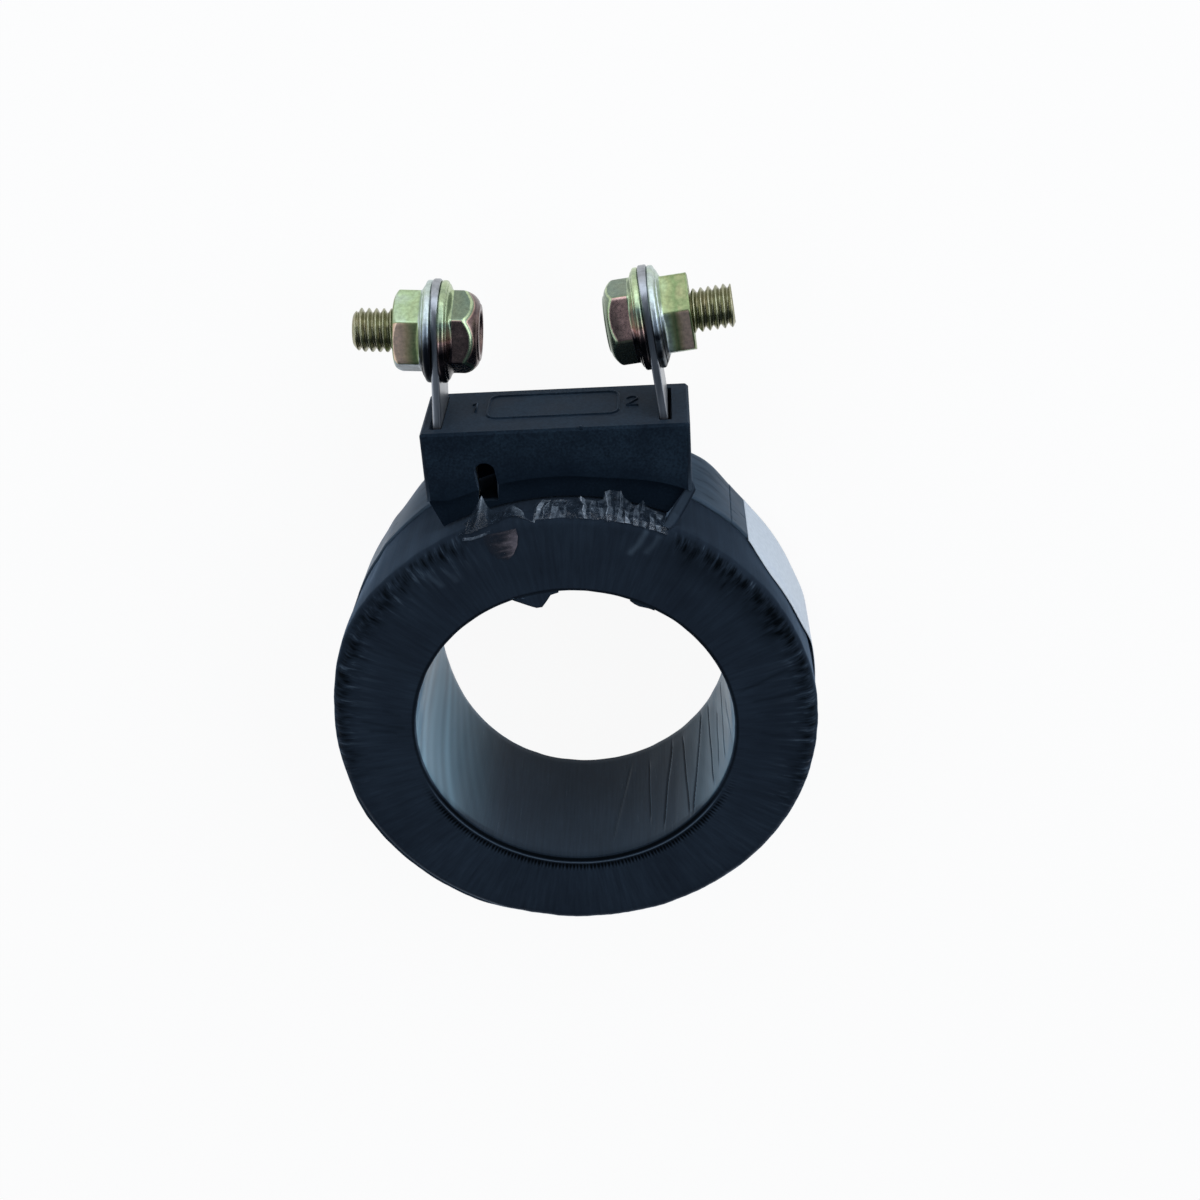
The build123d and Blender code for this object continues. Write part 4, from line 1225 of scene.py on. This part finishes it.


# Loose sheets between two lines of points in mm, each with its painted glint at every point.
looseSheets = {
    # tented from the film's corner to a tip under the notch, and down again to the right
    "tape_tent": {
        "high": [(-13.8, 32.2, 10.0), (-12.6, 33.1, 9.95), (-11.3, 35.2, 9.9), (-10.5, 36.7, 9.9),
                 (-10.0, 35.2, 9.95), (-9.2, 34.3, 10.1), (-8.0, 34.2, 10.2), (-7.3, 34.7, 10.1),
                 (-6.4, 35.1, 10.0), (-5.4, 34.9, 10.9), (-4.5, 34.6, 11.8), (-3.2, 34.0, 12.9)],
        "low": [(-13.9, 32.0, 12.7), (-13.1, 32.4, 12.9), (-12.2, 32.6, 13.1), (-11.2, 33.0, 13.1),
                (-10.2, 33.4, 13.0), (-9.2, 33.8, 12.9), (-8.3, 34.1, 12.7), (-7.5, 34.4, 12.4),
                (-6.6, 34.6, 12.3), (-5.6, 34.6, 12.5), (-4.6, 34.3, 12.8), (-3.3, 33.8, 13.1)],
        "glintHigh": [0.55, 0.35, 0.38, 0.8, 0.45, 0.3, 0.28, 0.42, 0.5, 0.7, 0.75, 0.8],
        "glintLow": [0.3, 0.26, 0.28, 0.28, 0.26, 0.25, 0.25, 0.27, 0.3, 0.3, 0.35, 0.7],
        "rows": 20, "bend": 0.16, "seed": 9.0, "fall": 1.5,
    },
    # doubled lower edge of the same sheet, on the face
    "tape_hem": {
        "high": [(-13.2, 32.0, 13.2), (-11.8, 32.1, 13.3), (-10.4, 32.6, 13.33), (-9.4, 33.0, 13.3)],
        "low": [(-13.3, 31.6, 13.3), (-11.8, 31.7, 13.36), (-10.4, 32.2, 13.37), (-9.4, 32.7, 13.34)],
        "glintHigh": [0.5, 0.6, 0.5, 0.4], "glintLow": [0.6, 0.45, 0.5, 0.3],
        "rows": 5, "bend": 0.03, "seed": 3.0, "fall": 1.5,
    },
    # flap with dried adhesive, lying on the face
    "brown_flap": {
        "high": [(-5.9, 33.1, 13.25), (-5.7, 32.0, 13.37), (-5.9, 30.6, 13.38), (-6.5, 29.3, 13.37),
                 (-7.3, 28.5, 13.36)],
        "low": [(-10.6, 32.2, 13.2), (-10.4, 31.2, 13.36), (-9.8, 29.8, 13.37), (-8.9, 28.7, 13.37),
                (-7.9, 28.2, 13.36)],
        "glintHigh": [0.6, 0.8, 0.85, 0.75, 0.4], "glintLow": [0.15, 0.12, 0.1, 0.1, 0.0],
        "rows": 18, "bend": 0.01, "seed": 31.0, "fall": 0.8,
    },
}
looseColumns = 72
faceTop = 13.395  # loose film stays under the front of the part's box


def along(line, t):
    at = t * (len(line) - 1)
    k = min(len(line) - 2, int(at))
    return Vector(line[k]).lerp(Vector(line[k + 1]), at - k)


def makeLooseSheet(name, material):
    sheet = looseSheets[name]
    rows = sheet["rows"]
    verts, gleams = [], []
    for i in range(looseColumns + 1):
        t = i / looseColumns
        low, high = along(sheet["low"], t), along(sheet["high"], t)
        glintLow, glintHigh = [along([(glint, 0) for glint in sheet[key]], t).x
                             for key in ("glintLow", "glintHigh")]
        for v in [j / rows for j in range(rows + 1)]:
            ridged, arch = 1 - abs(waver(i * 0.11, v * 1.1, sheet["seed"])) * 3, sin(pi * v)
            point = low.lerp(high, v) + Vector((0, 1, 0.6)) * sheet["bend"] * ridged * arch
            point.z = min(point.z, faceTop)
            verts.append(point * mm)
            # painted highlight: the listed glint, brighter on the sheet's ridges
            gleams.append(mix(glintLow, glintHigh, v ** sheet["fall"]) + 0.22 * (ridged - 0.5) * arch)
    faces = joinRows(0, looseColumns + 1, rows + 1, False, False)
    makePiece(name, verts, faces, material, "clear_film", gleam=gleams)


# Strip of film pulled up along the right foot's slanting edge: lines of points in mm, and how
# far its underside reaches down as a web.
footStrip = {
    "inner": [(18.1, 37.4, 9.3), (16.6, 35.0, 9.6), (15.3, 33.1, 10.0), (14.5, 32.2, 11.0),
              (13.9, 32.2, 12.4)],
    "outer": [(18.6, 35.9, 9.3), (17.4, 33.8, 9.7), (16.4, 32.3, 10.3), (15.6, 31.6, 11.3),
              (14.8, 31.7, 12.5)],
    "columns": 48, "rows": 8, "web": 2.6, "thickness": 0.12,
}


def makeFootStrip():
    verts, folds = [], []
    columns, rows = footStrip["columns"], footStrip["rows"]
    for side in (0, 1):
        for i in range(columns + 1):
            t = i / columns
            inner, outer = along(footStrip["inner"], t), along(footStrip["outer"], t)
            drop = footStrip["web"] * side * smoothStep(0, 0.3, t) * smoothStep(1, 0.7, t)
            for v in [j / rows for j in range(rows + 1)]:
                lift = 0.12 * sin(pi * v) + 0.05 * waver(i * 0.2, v * 2, 5.0) - footStrip["thickness"] * side
                point = inner.lerp(outer, v) + Vector((0.3, 0.8, 0.5)) * lift
                verts.append((point - Vector((0, 0, drop))) * mm)
                # fold mark: a painted highlight on top, painted shade towards the outer edge and on the
                # underside
                folds.append(0.2 - 0.5 * smoothStep(0.7, 1.0, v) - 0.5 * side)
    makePiece("foot_strip", verts, sheetFaces(columns, rows), filmTape, "black_film", fold=folds)


makeClearTape()
makeLooseSheet("tape_tent", clearFilm)
makeLooseSheet("tape_hem", clearFilm)
makeLooseSheet("brown_flap", stainedFilm)
makeFootStrip()
print("clear tape made")


# Scrap of film that sticks out into the window at the top, with a small nick to its right:
# outline, and the heights of its two sides, in mm.
filmScraps = {
    "film_scrap": ([(-8.3, 22.2), (-7.6, 22.3), (-6.9, 21.95), (-5.2, 21.2), (-4.0, 20.75), (-3.2, 20.85),
                    (-2.5, 21.8), (-1.9, 22.7), (-0.8, 23.05), (-0.6, 24.4), (-4.0, 24.6), (-8.5, 23.6)],
                   (13.12, 13.34)),
    "film_nick": ([(9.0, 21.25), (9.55, 20.75), (10.2, 20.35), (10.9, 20.15), (11.6, 19.95), (12.3, 19.6),
                   (12.6, 21.3), (10.6, 22.4), (8.9, 21.9)], (13.1, 13.32)),
}


def makeScrap(name, rings=6, split=4):
    outline, heights = filmScraps[name]
    middle = sum((Vector(point) for point in outline), Vector((0, 0))) / len(outline)
    edge = []
    for a, b in zip(outline, outline[1:] + outline[:1]):
        edge += [Vector(a).lerp(Vector(b), t / split) for t in range(split)]
    count, layer = len(edge), rings * len(edge) + 1
    verts, faces = [], []

    def place(point, ripple=0.0):  # the film turns down behind the window's edge
        z = height + ripple - 0.3 * smoothStep(23.1, 23.9, point.length)
        verts.append((point.x * mm, point.y * mm, min(z, faceTop - 0.005) * mm))

    for side, height in enumerate(heights):
        base = side * layer
        for share in [(ring + 1) / rings for ring in range(rings)]:
            for q in [middle.lerp(point, share) for point in edge]:
                place(q, 0.05 * waver(q.x * 0.8, q.y * 0.8, 4.0))
        place(middle)
        faces += [(base + layer - 1, base + k, base + (k + 1) % count) for k in range(count)]
        faces += joinRows(base, rings, count, False)
    a = (rings - 1) * count
    for k in range(count):
        j = (k + 1) % count
        faces.append((a + k, a + j, layer + a + j, layer + a + k))
    makePiece(name, verts, faces, filmTape, "black_film")


makeScrap("film_scrap")
makeScrap("film_nick")
print("film scraps made")
